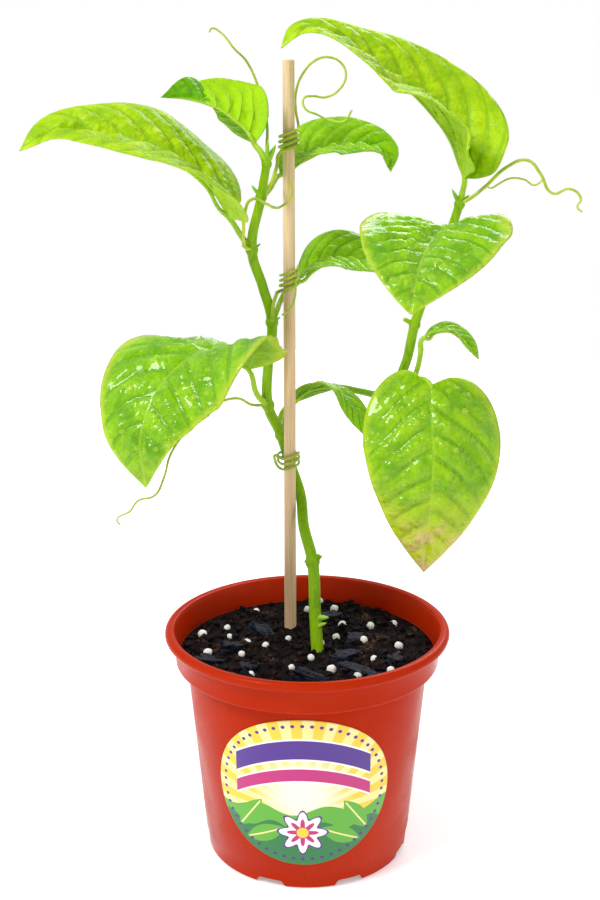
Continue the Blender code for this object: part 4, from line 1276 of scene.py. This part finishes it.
@dataclass
class Vine:
    """The main stem, its side shoot, the swollen nodes, buds and stipules."""

    voxel: float = 0.42 * MM
    smoothing: int = 6

    def build(self) -> None:
        """Make the stem as one skin, and the stipules as another piece."""
        green = GREEN_STEM.make()
        places, radii = zip(*MAIN_STEM)
        shoot_places, shoot_radii = zip(*SIDE_SHOOT)
        strands = [Strand(places, radii), Strand(shoot_places, shoot_radii)]
        for place, goal in SMALL_STUBS:
            strands.append(Strand([place, goal], [CUT_STUB_BASE_RADIUS, CUT_STUB_END_RADIUS]))
        for leaf in LEAVES:
            end = leaf.node + (leaf.petiole[0] - leaf.node).normalized() * STUB_LENGTH
            strands.append(Strand([leaf.node, end], [STUB_BASE_RADIUS, PETIOLE_RADIUS]))
        shape = bmesh.new()
        shape.from_mesh(rods(strands, steps=8, round_steps=6))
        for place, radius in SWELLS:
            made = bmesh.ops.create_icosphere(shape, subdivisions=4, radius=radius * NODE_SWELL)
            bmesh.ops.translate(shape, vec=place, verts=made["verts"])
        stem = add_object("vine_stem_skin", shape, ())
        skin = stem.modifiers.new("Skin", "REMESH")
        skin.mode = "VOXEL"
        skin.voxel_size = self.voxel
        soften = stem.modifiers.new("Soften", "SMOOTH")
        soften.iterations = self.smoothing
        soften.factor = 0.5
        bake(stem)
        stem.data.materials.clear()
        stem.data.materials.append(green)
        stem.data.shade_smooth()
        place_piece(stem, "stem", "vine_stem")
        self.stipules()

    def stipules(self) -> None:
        """Make the pointed stipules and buds at the nodes."""
        bud = BUD_SKIN.make()
        strands = []
        for node, lean, length, radius in STIPULES:
            tip = node + lean.normalized() * length
            points = [node.lerp(tip, share) for share, _ in BUD_PROFILE]
            strands.append(Strand(points, [radius * width for _, width in BUD_PROFILE]))
        shape = bmesh.new()
        shape.from_mesh(rods(strands, steps=4, round_steps=3))
        place_piece(add_object("stipules_and_buds", shape, (bud,)), "stem")


@dataclass
class TendrilSet:
    """The thin tendrils that hold the vine to its stake or reach out for another."""

    steps: int = 7
    round_steps: int = 3
    # A tendril's width at its root, and how much of it is gone at the tip, as shares
    root: float = 1.35
    taper: float = 0.65

    def build(self) -> None:
        """Make every tendril."""
        skin = TENDRIL_SKIN.make()
        for tendril in TENDRILS + COILS:
            route = [tendril.node, *tendril.route]
            last = len(route) - 1
            radii = [tendril.radius * (self.root - self.taper * i / last) for i in range(last + 1)]
            self.piece(tendril.name, Strand(route, radii), skin)
        curl = (mm(-13.6, 18.5, 178), mm(-14.8, 17.5, 181), mm(-14.6, 17, 183.5), mm(-13.2, 16.5, 182.5))
        wraps = [*reversed(curl), *low_coil()]
        self.piece("tendril_lower_coil", Strand(wraps, [TENDRIL_RADIUS] * len(wraps)), skin)
        # The branch grows out of the long tendril, so its first point lies in it
        branch = [mm(75, -1, 306), *THIN_BRANCH]
        self.piece("tendril_right_thin", Strand(branch, [BRANCH_RADIUS] * len(branch)), skin)

    def piece(self, node: str, strand: Strand, skin: bpy.types.Material) -> None:
        """Make one tendril.

        Args:
            node: The CAD node that it stands for.
            strand: Its route and thickness.
            skin: Its skin.
        """
        shape = bmesh.new()
        shape.from_mesh(rods([strand], self.steps, self.round_steps))
        place_piece(add_object(node + "_skin", shape, (skin,)), "tendril", node)


def turned(profile: Sequence[tuple[float, float]], sides: int) -> bmesh.types.BMesh:
    """Turn a closed profile about the Z axis.

    Args:
        profile: Radius and height of each corner.
        sides: How many steps a full turn has.

    Returns:
        The turned shape, its faces outwards.
    """
    shape = bmesh.new()
    corners = [shape.verts.new((radius, 0, height)) for radius, height in profile]
    edges = [shape.edges.new(pair) for pair in zip(corners, corners[1:])]
    bmesh.ops.spin(
        shape, geom=corners + edges, axis=(0, 0, 1), cent=(0, 0, 0),
        steps=sides, angle=math.tau, use_merge=True, use_duplicate=False,
    )
    bmesh.ops.remove_doubles(shape, verts=shape.verts, dist=WELD)
    bmesh.ops.recalc_face_normals(shape, faces=shape.faces)
    return shape


def arc(
    centre: tuple[float, float], radius: float, start: float, stop: float, steps: int
) -> list[tuple[float, float]]:
    """Return points of a circular arc in the profile's plane.

    Args:
        centre: The arc's centre.
        radius: Its radius.
        start: The first angle in degrees.
        stop: The last angle in degrees.
        steps: How many parts it has.

    Returns:
        The points.
    """
    turns = [math.radians(start + (stop - start) * i / steps) for i in range(steps + 1)]
    return [(centre[0] + radius * math.cos(t), centre[1] + radius * math.sin(t)) for t in turns]


@dataclass
class NurseryPot:
    """A 13 cm injection-moulded nursery pot."""

    sides: int = 192
    height: float = 108 * MM
    lip_radius: float = 65 * MM
    lip_height: float = 4.6 * MM
    collar_top_radius: float = 61.2 * MM
    collar_bottom_radius: float = 60.2 * MM
    collar_bottom: float = 91.5 * MM
    step_top: float = 94.4 * MM
    body_top_radius: float = 55.2 * MM
    skirt_top: float = 9.5 * MM
    body_bottom_radius: float = 47.8 * MM
    skirt_step: float = 0.5 * MM
    base_radius: float = 46.6 * MM
    wall: float = 1.4 * MM
    floor: float = 1.6 * MM
    notch_azimuths: tuple[int, ...] = (-21, 24, 69, 159, 204, 249)
    notch_width: float = 15.5 * MM
    notch_top_width: float = 11.5 * MM
    notch_height: float = 3.2 * MM
    notch_corner: float = 1.2 * MM
    notch_inner_radius: float = 42 * MM
    notch_outer_radius: float = 54 * MM

    def wall_radius(self, height: float) -> float:
        """Return the outer radius of the straight body at a height."""
        share = (height - self.skirt_top) / (self.collar_bottom - self.skirt_top)
        return self.body_bottom_radius + share * (self.body_top_radius - self.body_bottom_radius)

    def profile(self) -> list[tuple[float, float]]:
        """Draw the wall's closed profile, from the middle of the base round to the floor.

        Returns:
            Radius and height of each corner.
        """
        corner = 1.6 * MM
        lip = self.lip_height / 2
        collar = 1.8 * MM
        collar_centre = (self.collar_bottom_radius - collar, self.collar_bottom + collar)
        body = self.body_top_radius - self.wall
        collar_in = self.collar_bottom_radius - self.wall
        return [
            (0, 0),
            *arc((self.base_radius - corner, corner), corner, -90, -5, 5),
            (self.body_bottom_radius - self.skirt_step, self.skirt_top - 0.4 * MM),
            (self.body_bottom_radius, self.skirt_top + 0.3 * MM),
            (self.body_top_radius, self.collar_bottom + 0.4 * MM),
            *arc(collar_centre, collar, -80, 0, 5),
            (self.collar_top_radius - 0.1 * MM, self.height - self.lip_height - 0.8 * MM),
            (self.collar_top_radius + 0.3 * MM, self.height - self.lip_height - 0.2 * MM),
            *arc((self.lip_radius - lip, self.height - lip), lip, -80, 90, 10),
            (self.collar_top_radius - self.wall + 1.2 * MM, self.height - 0.5 * MM),
            (self.collar_top_radius - self.wall, self.height - 2.2 * MM),
            (collar_in, self.step_top + 1.6 * MM),
            (collar_in - 1.4 * MM, self.step_top),
            (body + 0.5 * MM, self.step_top - 0.8 * MM),
            (body, self.step_top - 2.4 * MM),
            (self.body_bottom_radius - self.skirt_step - self.wall, self.skirt_top - 1 * MM),
            (self.base_radius - self.wall - 0.8 * MM, self.floor),
            (0, self.floor),
        ]

    def notch(self, azimuth: float) -> bpy.types.Object:
        """Make the round-cornered block that cuts one drain notch.

        Args:
            azimuth: Its angle from the front in degrees.

        Returns:
            The cutter.
        """
        shape = bmesh.new()
        bmesh.ops.create_cube(shape, size=1)
        depth = self.notch_outer_radius - self.notch_inner_radius
        for corner in shape.verts:
            low = corner.co.z < 0
            corner.co.x *= self.notch_width if low else self.notch_top_width
            corner.co.y = -(self.notch_inner_radius + depth * (0.5 - corner.co.y))
            corner.co.z = -1 * MM if low else self.notch_height
        top = [e for e in shape.edges if all(v.co.z > 0 for v in e.verts)]
        bmesh.ops.bevel(
            shape, geom=top, offset=self.notch_corner, segments=4, profile=0.5, affect="EDGES",
            material=-1,
        )
        turn = Matrix.Rotation(math.radians(azimuth), 3, "Z")
        bmesh.ops.rotate(shape, matrix=turn, verts=shape.verts)
        bmesh.ops.recalc_face_normals(shape, faces=shape.faces)
        return add_object(f"notch_{azimuth}", shape, ())

    def build(self) -> None:
        """Turn the wall and cut its drain notches."""
        pot = add_object("pot_shell", turned(self.profile(), self.sides), (POT_PLASTIC.make(),))
        cutters = [self.notch(azimuth) for azimuth in self.notch_azimuths]
        for cutter in cutters:
            cut = pot.modifiers.new("Notch", "BOOLEAN")
            cut.operation = "DIFFERENCE"
            cut.object = cutter
        bake(pot)
        for cutter in cutters:
            bpy.data.objects.remove(cutter, do_unlink=True)
        pot.data.shade_smooth()
        pot.data.set_sharp_from_angle(angle=math.radians(32))
        place_piece(pot, "pot_plastic", "pot")


@dataclass(frozen=True)
class LabelInk:
    """Coated paper with the inks and the counts of its plain design."""

    sun: str = "#FBD038"
    pale: str = "#FDEB9A"
    purple: str = "#4B1E8C"
    deep_green: str = "#1E7A3C"
    green: str = "#5CB02C"
    magenta: str = "#C21C78"
    white: str = "#FFFDF4"
    ray_count: int = 26
    petal_count: int = 8
    dot_count: int = 56
    surface: dict = field(default_factory=lambda: {"Roughness": 0.32, "Coat Weight": 0.25})

    def make(self) -> bpy.types.Material:
        """Return the material."""
        return LabelPrint(self).make()


class LabelPrint:
    """The printing of one label: sun rays, hills, ribbons, leaves, a rosette and dots."""

    EDGE = 0.15 * MM
    # Where each printed leaf lies and how far it is turned: millimetres, millimetres, degrees
    LEAF_PLACES = ((-24, -13, 55), (-17, -22, 25), (24, -13, 125), (17, -22, 155))

    def __init__(self, ink: LabelInk) -> None:
        """Start with a plain sheet, whose flat coordinates are in metres.

        Args:
            ink: The label's inks and counts.
        """
        self.ink = ink
        self.paper, self.add = new_material("coated_label_paper")
        self.art = self.add("Attribute", out="Vector", attribute_name="art")
        self.print = self.ink.sun

    def local(self, x: float, y: float, turn: float = 0.0) -> list[bpy.types.NodeSocket]:
        """Measure from a motif's centre.

        Args:
            x: The centre's place across, in metres.
            y: The centre's place up, in metres.
            turn: How far the motif is turned, in degrees.

        Returns:
            The sockets of the distance across, the distance up and the straight distance.
        """
        moved = self.add("VectorMath", (self.art, (x, y, 0)), operation="SUBTRACT")
        turning = {"Vector": moved, "Angle": -math.radians(turn)}
        moved = self.add("VectorRotate", turning, rotation_type="Z_AXIS")
        parts = [self.add("SeparateXYZ", (moved,), out) for out in (0, 1)]
        return [*parts, self.add("VectorMath", (moved,), "Value", operation="LENGTH")]

    def lay(
        self, ink: str, distance: bpy.types.NodeSocket, limit: float, edge: float = EDGE,
        share: float | bpy.types.NodeSocket = 1.0,
    ) -> None:
        """Print an ink wherever a distance is below a limit.

        Args:
            ink: The colour.
            distance: The socket of the distance.
            limit: The limit.
            edge: Half the width over which the ink fades. A negative one prints above the limit.
            share: How much of the ink is laid.
        """
        mask = self.add("MapRange", (distance, limit + edge, limit - edge, 0, share), **SOFT)
        self.print = self.add("Mix", {0: mask, 6: self.print, 7: ink}, 2, **COLOURS)

    def sky(self) -> None:
        """Print the yellow ground's fan of paler rays, and the glow in its middle."""
        x, y, _ = self.local(0, -8 * MM)
        angle = self.add("Math", (x, y), operation="ARCTAN2")
        turns = self.add("Math", (angle, self.ink.ray_count), operation="MULTIPLY")
        self.lay(self.ink.pale, self.add("Math", (turns,), operation="SINE"), 0, edge=-0.15)
        far = self.add("VectorMath", (self.art,), "Value", operation="LENGTH")
        self.lay(self.ink.white, far, 15 * MM, edge=11 * MM, share=0.8)

    def hills(self) -> None:
        """Print two green hills at the foot."""
        hills = ((-9 * MM, 30 * MM, self.ink.green), (-17 * MM, 22 * MM, self.ink.deep_green))
        for level, length, ink in hills:
            x, y, _ = self.local(3 * MM, level)
            crest = self.add("Math", (x, math.tau / length), operation="MULTIPLY")
            crest = self.add("Math", (crest,), operation="SINE")
            height = self.add("Math", (crest, -2.2 * MM, y), operation="MULTIPLY_ADD")
            self.lay(ink, height, 0)

    def ribbons(self) -> None:
        """Print two plain arched ribbons with pale edges across the middle."""
        bands = ((22 * MM, 4.6 * MM, self.ink.purple), (9.5 * MM, 3 * MM, self.ink.magenta))
        for level, half, ink in bands:
            x, y, _ = self.local(0, level)
            arch = self.add("Math", (x, x), operation="MULTIPLY")
            off = self.add("Math", (arch, 11.0, y), operation="MULTIPLY_ADD")
            off = self.add("Math", (off,), operation="ABSOLUTE")
            across = self.add("Math", (x,), operation="ABSOLUTE")
            end = 31 * MM
            ends = self.add("MapRange", (across, end + self.EDGE, end - self.EDGE), **SOFT)
            self.lay(self.ink.white, off, half + 0.9 * MM, share=ends)
            self.lay(ink, off, half, share=ends)

    def leaves(self) -> None:
        """Print four simple pointed leaves with a midrib."""
        for x, y, turn in self.LEAF_PLACES:
            along, across, _ = self.local(x * MM, y * MM, turn)
            off = self.add("Math", (across,), operation="ABSOLUTE")
            bow = self.add("Math", (along, along), operation="MULTIPLY")
            bow = self.add("Math", (bow, 42.0, off), operation="MULTIPLY_ADD")
            self.lay(self.ink.green, bow, 4.2 * MM)
            inside = self.add("MapRange", (bow, 3.2 * MM + self.EDGE, 3.2 * MM - self.EDGE), **SOFT)
            self.lay(self.ink.pale, off, 0.35 * MM, share=inside)

    def rosette(self) -> None:
        """Print an eight-petalled rosette near the foot."""
        x, y, far = self.local(0, -20 * MM)
        angle = self.add("Math", (x, y), operation="ARCTAN2")
        petals = self.add("Math", (angle, self.ink.petal_count), operation="MULTIPLY")
        petals = self.add("Math", (petals,), operation="COSINE")
        edge = self.add("Math", (petals, -2 * MM, far), operation="MULTIPLY_ADD")
        for ink, size in ((self.ink.purple, 9.6), (self.ink.white, 8.6), (self.ink.magenta, 5.0)):
            self.lay(ink, edge, size * MM)
        self.lay(self.ink.sun, far, 2.6 * MM)

    def dots(self) -> None:
        """Print a ring of small dots inside the rim."""
        x, y, _ = self.local(0, 0)
        # The sticker is a little wider than it is high, so the ring is drawn to its shape
        tall = self.add("Math", (y, LABEL_WIDTH / LABEL_HEIGHT), operation="MULTIPLY")
        ring = LABEL_WIDTH / 2 - 3.4 * MM
        angle = self.add("Math", (x, tall), operation="ARCTAN2")
        around = self.add("Math", (angle, ring), operation="MULTIPLY")
        around = self.add("Math", (around, math.pi * ring / self.ink.dot_count), operation="PINGPONG")
        far = self.add("CombineXYZ", (x, tall))
        far = self.add("VectorMath", (far,), "Value", operation="LENGTH")
        off = self.add("CombineXYZ", (around, self.add("Math", (far, ring), operation="SUBTRACT")))
        off = self.add("VectorMath", (off,), "Value", operation="LENGTH")
        self.lay(self.ink.purple, off, 0.9 * MM)

    def make(self) -> bpy.types.Material:
        """Print everything in order.

        Returns:
            The material.
        """
        for motif in (self.sky, self.hills, self.ribbons, self.leaves, self.rosette, self.dots):
            motif()
        surface = {"Base Color": self.print, **self.ink.surface}
        self.add("OutputMaterial", (self.add("BsdfPrincipled", surface),))
        return self.paper


@dataclass
class Sticker:
    """The round sticker on the front of the pot."""

    pot: NurseryPot
    centre_height: float = 50.2 * MM
    turn: float = -2.3
    thickness: float = 0.6 * MM
    clearance: float = 0.05 * MM
    grid: int = 90

    def build(self) -> None:
        """Bend a disc of paper round the pot's body."""
        shape = bmesh.new()
        art = shape.verts.layers.float_vector.new("art")
        bmesh.ops.create_grid(shape, x_segments=self.grid, y_segments=self.grid, size=1)
        for corner in shape.verts:
            across, up = corner.co.x, corner.co.y
            flat_x = across * math.sqrt(1 - up * up / 2) * LABEL_WIDTH / 2
            flat_z = up * math.sqrt(1 - across * across / 2) * LABEL_HEIGHT / 2
            height = self.centre_height + flat_z
            radius = self.pot.wall_radius(height) + self.clearance
            turn = flat_x / radius + math.radians(self.turn)
            corner[art] = Vector((flat_x, flat_z, 0))
            corner.co = (radius * math.sin(turn), -radius * math.cos(turn), height)
        label = add_object("label_paper_disc", shape, (LabelInk().make(),))
        facing = sum(face.normal.y for face in label.data.polygons) < 0
        thicken = label.modifiers.new("Thickness", "SOLIDIFY")
        thicken.thickness = self.thickness / 2
        thicken.offset = 1 if facing else -1
        bake(label)
        label.data.shade_smooth()
        place_piece(label, "label_paper", "label_sticker")


@dataclass
class PottingSoil:
    """The potting mix with its crumbs, perlite beads and bark chips."""

    pot: NurseryPot
    top: float = 96 * MM
    top_radius: float = 58.2 * MM
    rings: int = 96
    sides: int = 240
    # Between the mix and the pot's wall, and the width over which the bed flattens at its rim
    gap: float = 0.4 * MM
    rim: float = 3 * MM
    # The bed's relief: the size of the lumps, where in the noise they are cut, and their height
    broad: tuple[float, Vector, float] = (16 * MM, Vector((3.1, 0, 0)), 1.54 * MM)
    fine: tuple[float, Vector, float] = (5.5 * MM, Vector((0, 7.7, 0)), 1.1 * MM)
    small: tuple[float, Vector, float] = (2.8 * MM, Vector((0, 0, 5)), 2.8 * MM)
    tiny: tuple[float, Vector, float] = (1.2 * MM, Vector((0, 0, 8)), 0.7 * MM)
    crumb_count: int = 1700
    crumb_size: float = 0.8 * MM
    crumb_margin: float = 2.5 * MM
    bead_count: int = 34
    bead_reach: float = 53 * MM
    bead_turn: float = math.radians(137.5)
    bead_radii: tuple[float, float] = (1.4 * MM, 2.2 * MM)
    bead_clearance: float = 6 * MM
    chip_lean: float = 4
    chip_lean_step: float = 7
    seed: int = 7

    def lumps(self, x: float, y: float, layer: tuple[float, Vector, float]) -> float:
        """Return the height of one layer of lumps at a place."""
        size, start, height = layer
        return height * noise.noise(Vector((x, y, 0)) / size + start)

    def height(self, x: float, y: float) -> float:
        """Return the height of the broad lumps above the mean level."""
        return self.lumps(x, y, self.broad) + self.lumps(x, y, self.fine)

    def crumbly(self, x: float, y: float) -> float:
        """Return the height with the small crumbs on top of the broad lumps."""
        crumbs = abs(self.lumps(x, y, self.small)) + self.lumps(x, y, self.tiny)
        return self.height(x, y) + crumbs

    def build(self) -> None:
        """Make the mix, its crumbs, its beads and its chips."""
        pot = self.pot
        gap = pot.wall + self.gap
        body = pot.body_top_radius - gap - 0.2 * MM
        profile = [
            (0, pot.floor + 0.3 * MM),
            (pot.base_radius - gap - 1.2 * MM, pot.floor + 0.3 * MM),
            (pot.body_bottom_radius - pot.skirt_step - gap - 0.2 * MM, pot.skirt_top),
            (body, pot.step_top - 2.4 * MM),
            (body, pot.step_top - 0.2 * MM),
            (self.top_radius - 1.6 * MM, pot.step_top + 0.8 * MM),
            *[(self.top_radius * i / self.rings, self.top) for i in range(self.rings, -1, -1)],
        ]
        shape = turned(profile, self.sides)
        for corner in shape.verts:
            if corner.co.z > self.top - 0.1 * MM:
                share = min(1, (self.top_radius - corner.co.xy.length) / self.rim)
                corner.co.z += self.crumbly(corner.co.x, corner.co.y) * share
        earth = POTTING_MIX.make()
        place_piece(add_object("potting_mix_bed", shape, (earth,)), "potting_mix", "soil")
        self.crumbs(earth)
        self.beads()
        self.chips()

    def crumbs(self, earth: bpy.types.Material) -> None:
        """Scatter loose crumbs over the bed.

        Args:
            earth: The potting mix.
        """
        draw = random.Random(self.seed)
        shape = bmesh.new()
        for _ in range(self.crumb_count):
            reach = (self.top_radius - self.crumb_margin) * math.sqrt(draw.random())
            angle = draw.uniform(0, math.tau)
            x, y = reach * math.cos(angle), reach * math.sin(angle)
            size = draw.uniform(0.5, 1.5) ** 3 * self.crumb_size
            made = bmesh.ops.create_icosphere(shape, subdivisions=1, radius=size)
            for corner in made["verts"]:
                corner.co *= draw.uniform(0.65, 1.2)
            squash = (draw.uniform(0.7, 1.5), draw.uniform(0.6, 1.1), draw.uniform(0.5, 0.9))
            bmesh.ops.scale(shape, vec=squash, verts=made["verts"])
            turn = Matrix.Rotation(draw.uniform(0, math.tau), 3, "Z")
            bmesh.ops.rotate(shape, matrix=turn, verts=made["verts"])
            lift = Vector((x, y, self.top + self.crumbly(x, y) + 0.2 * size))
            bmesh.ops.translate(shape, vec=lift, verts=made["verts"])
        made = add_object("potting_mix_crumbs", shape, (earth,))
        made.data.shade_flat()
        place_piece(made, "potting_mix")

    def beads(self) -> None:
        """Scatter the white perlite beads evenly, clear of the stem and the stake."""
        draw = random.Random(self.seed)
        shape = bmesh.new()
        stem, stake = STEM_FOOT.xy, Vector((STAKE_X, STAKE_Y))
        for i in range(self.bead_count):
            reach = self.bead_reach * math.sqrt((i + 0.5) / self.bead_count)
            turn = i * self.bead_turn + draw.uniform(-0.3, 0.3)
            place = Vector((reach * math.cos(turn), reach * math.sin(turn)))
            if min((place - stem).length, (place - stake).length) < self.bead_clearance:
                continue
            radius = draw.uniform(*self.bead_radii)
            made = bmesh.ops.create_icosphere(shape, subdivisions=3, radius=radius)
            for corner in made["verts"]:
                corner.co *= 1 + 0.14 * noise.noise(corner.co / (1.5 * MM) + Vector((i, 0, 0)))
            centre = (*place, self.top + self.crumbly(*place) + 0.45 * radius)
            bmesh.ops.translate(shape, vec=centre, verts=made["verts"])
        place_piece(add_object("perlite_beads", shape, (PERLITE.make(),)), "potting_mix")

    def chips(self) -> None:
        """Lay the bark chips: split blocks with rough faces, half sunk in the mix."""
        shape = bmesh.new()
        for i, (x, y, turn) in enumerate(CHIP_PLACES):
            block = bmesh.new()
            bmesh.ops.create_cube(block, size=1)
            bmesh.ops.subdivide_edges(block, edges=block.edges, cuts=9, use_grid_fill=True)
            for corner in block.verts:
                # The block narrows towards one end, and its long faces are split askew
                corner.co.y *= 0.9 - 0.5 * corner.co.x - 0.9 * corner.co.x ** 2
                corner.co.x += 0.2 * math.tanh(4 * corner.co.y)
                rough = noise.noise(corner.co * Vector((4, 5, 3)) + Vector((0, 0, i)))
                corner.co *= 1 + 0.36 * rough
            bmesh.ops.scale(block, vec=CHIP_SIZE, verts=block.verts)
            lean = Matrix.Rotation(math.radians(self.chip_lean + self.chip_lean_step * (i % 4)), 3, "Y")
            lean = Matrix.Rotation(math.radians(turn), 3, "Z") @ lean
            bmesh.ops.rotate(block, matrix=lean, verts=block.verts)
            centre = Vector((x * MM, y * MM, self.top + self.height(x * MM, y * MM) + 0.6 * MM))
            bmesh.ops.translate(block, vec=centre, verts=block.verts)
            gather(shape, block)
        made = add_object("bark_chips", shape, (WET_BARK.make(),))
        made.data.set_sharp_from_angle(angle=math.radians(28))
        place_piece(made, "potting_mix")


@dataclass
class BambooStake:
    """The straight bamboo stick that holds the vine up."""

    top_radius: float = 2.55 * MM
    bottom: float = 46 * MM
    top: float = 357 * MM
    sides: int = 64
    rows: int = 60

    def build(self) -> None:
        """Make the stick with slightly uneven sides and a chamfered top."""
        profile = [(0, self.bottom)]
        for i in range(self.rows + 1):
            share = i / self.rows
            radius = STAKE_BASE_RADIUS + (self.top_radius - STAKE_BASE_RADIUS) * share
            profile.append((radius, self.bottom + (self.top - 0.3 * MM - self.bottom) * share))
        profile += [(self.top_radius - 0.3 * MM, self.top), (0, self.top)]
        shape = turned(profile, self.sides)
        for corner in shape.verts:
            facet = noise.noise(Vector((corner.co.x, corner.co.y, corner.co.z * 0.04)) / (2 * MM))
            corner.co.xy *= 1 + 0.02 * facet
        bmesh.ops.translate(shape, vec=(STAKE_X, STAKE_Y, 0), verts=shape.verts)
        stick = add_object("bamboo_stick", shape, (SPLIT_BAMBOO.make(),))
        stick.data.set_sharp_from_angle(angle=math.radians(40))
        place_piece(stick, "bamboo", "stake")


@dataclass
class Studio:
    """The pale floor, the soft lights and the camera of the photograph."""

    camera_place: tuple[float, float, float] = (0, -0.600, 0.359)
    camera_tilt: float = 74.33
    lens: float = 56.36
    shift_x: float = -0.0081
    floor_radius: float = 1.15

    def build(self) -> None:
        """Set the stage."""
        scene = bpy.context.scene
        scene.view_settings.view_transform = "Standard"
        lens = bpy.data.cameras.new("camera")
        lens.lens = self.lens
        lens.shift_x = self.shift_x
        lens.clip_start = 10 * MM
        camera = bpy.data.objects.new("camera", lens)
        camera.location = self.camera_place
        camera.rotation_euler = (math.radians(self.camera_tilt), 0, 0)
        scene.collection.objects.link(camera)
        scene.camera = camera
        self.floor()
        self.world()
        self.lamp("key_light", (-0.7, -0.5, 1.15), 0.4, 11.0)
        self.lamp("fill_light", (0.95, -0.45, 0.7), 0.8, 2.0)
        self.lamp("back_light", (0.35, 0.95, 0.9), 0.6, 6.0)

    def floor(self) -> None:
        """Lay the floor."""
        shape = bmesh.new()
        bmesh.ops.create_circle(shape, cap_ends=True, segments=128, radius=self.floor_radius)
        add_object("floor", shape, (STUDIO_PAPER.make(),))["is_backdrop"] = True

    def world(self) -> None:
        """Light everything softly from all round, in front of a white background."""
        world = bpy.data.worlds.new("studio")
        world.use_nodes = True
        world.node_tree.nodes.clear()
        add = partial(add_node, world.node_tree)
        seen = add("LightPath", out="Is Camera Ray")
        light, white = [add("Background", ("#FFFFFF", strength)) for strength in (0.6, 1.0)]
        add("OutputWorld", (add("MixShader", (seen, light, white)),))
        bpy.context.scene.world = world

    def lamp(self, name: str, place: tuple[float, float, float], size: float, power: float) -> None:
        """Hang one soft light that faces the plant.

        Args:
            name: Its name.
            place: Where it hangs.
            size: Its width in metres.
            power: Its power in watts.
        """
        light = bpy.data.lights.new(name, "AREA")
        light.energy = power
        light.size = size
        lamp = bpy.data.objects.new(name, light)
        lamp.location = place
        aim = Vector((0, 0, 0.2)) - Vector(place)
        lamp.rotation_euler = aim.to_track_quat("-Z", "Y").to_euler()
        bpy.context.scene.collection.objects.link(lamp)


def corners(box: tuple[Vector, Vector]) -> list[list[float]]:
    """Return a box's two corners as plain lists."""
    return [[float(value) for value in corner] for corner in box]


def main() -> None:
    """Build every sub-assembly in order."""
    logging.basicConfig(level=logging.INFO, format="%(name)s: %(message)s")
    cad_box = corners(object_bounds())
    pot = NurseryPot()
    pot.build()
    Sticker(pot).build()
    PottingSoil(pot).build()
    BambooStake().build()
    Vine().build()
    Foliage().build()
    TendrilSet().build()
    water = WATER.make()
    leaves = {leaf.name: leaf for leaf in LEAVES}
    WaterBeads(leaves["leaf_right_wet"], 110, RIGHT_WET_BEADS, seed=3).build(water)
    WaterBeads(leaves["leaf_heart"], 170, seed=5).build(water)
    WaterBeads(leaves["leaf_left_wet"], 170, LEFT_WET_BEADS, seed=9).build(water)
    Studio().build()
    {"cad": cad_box, "visual": corners(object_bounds())}


if __name__ == "__main__":
    main()
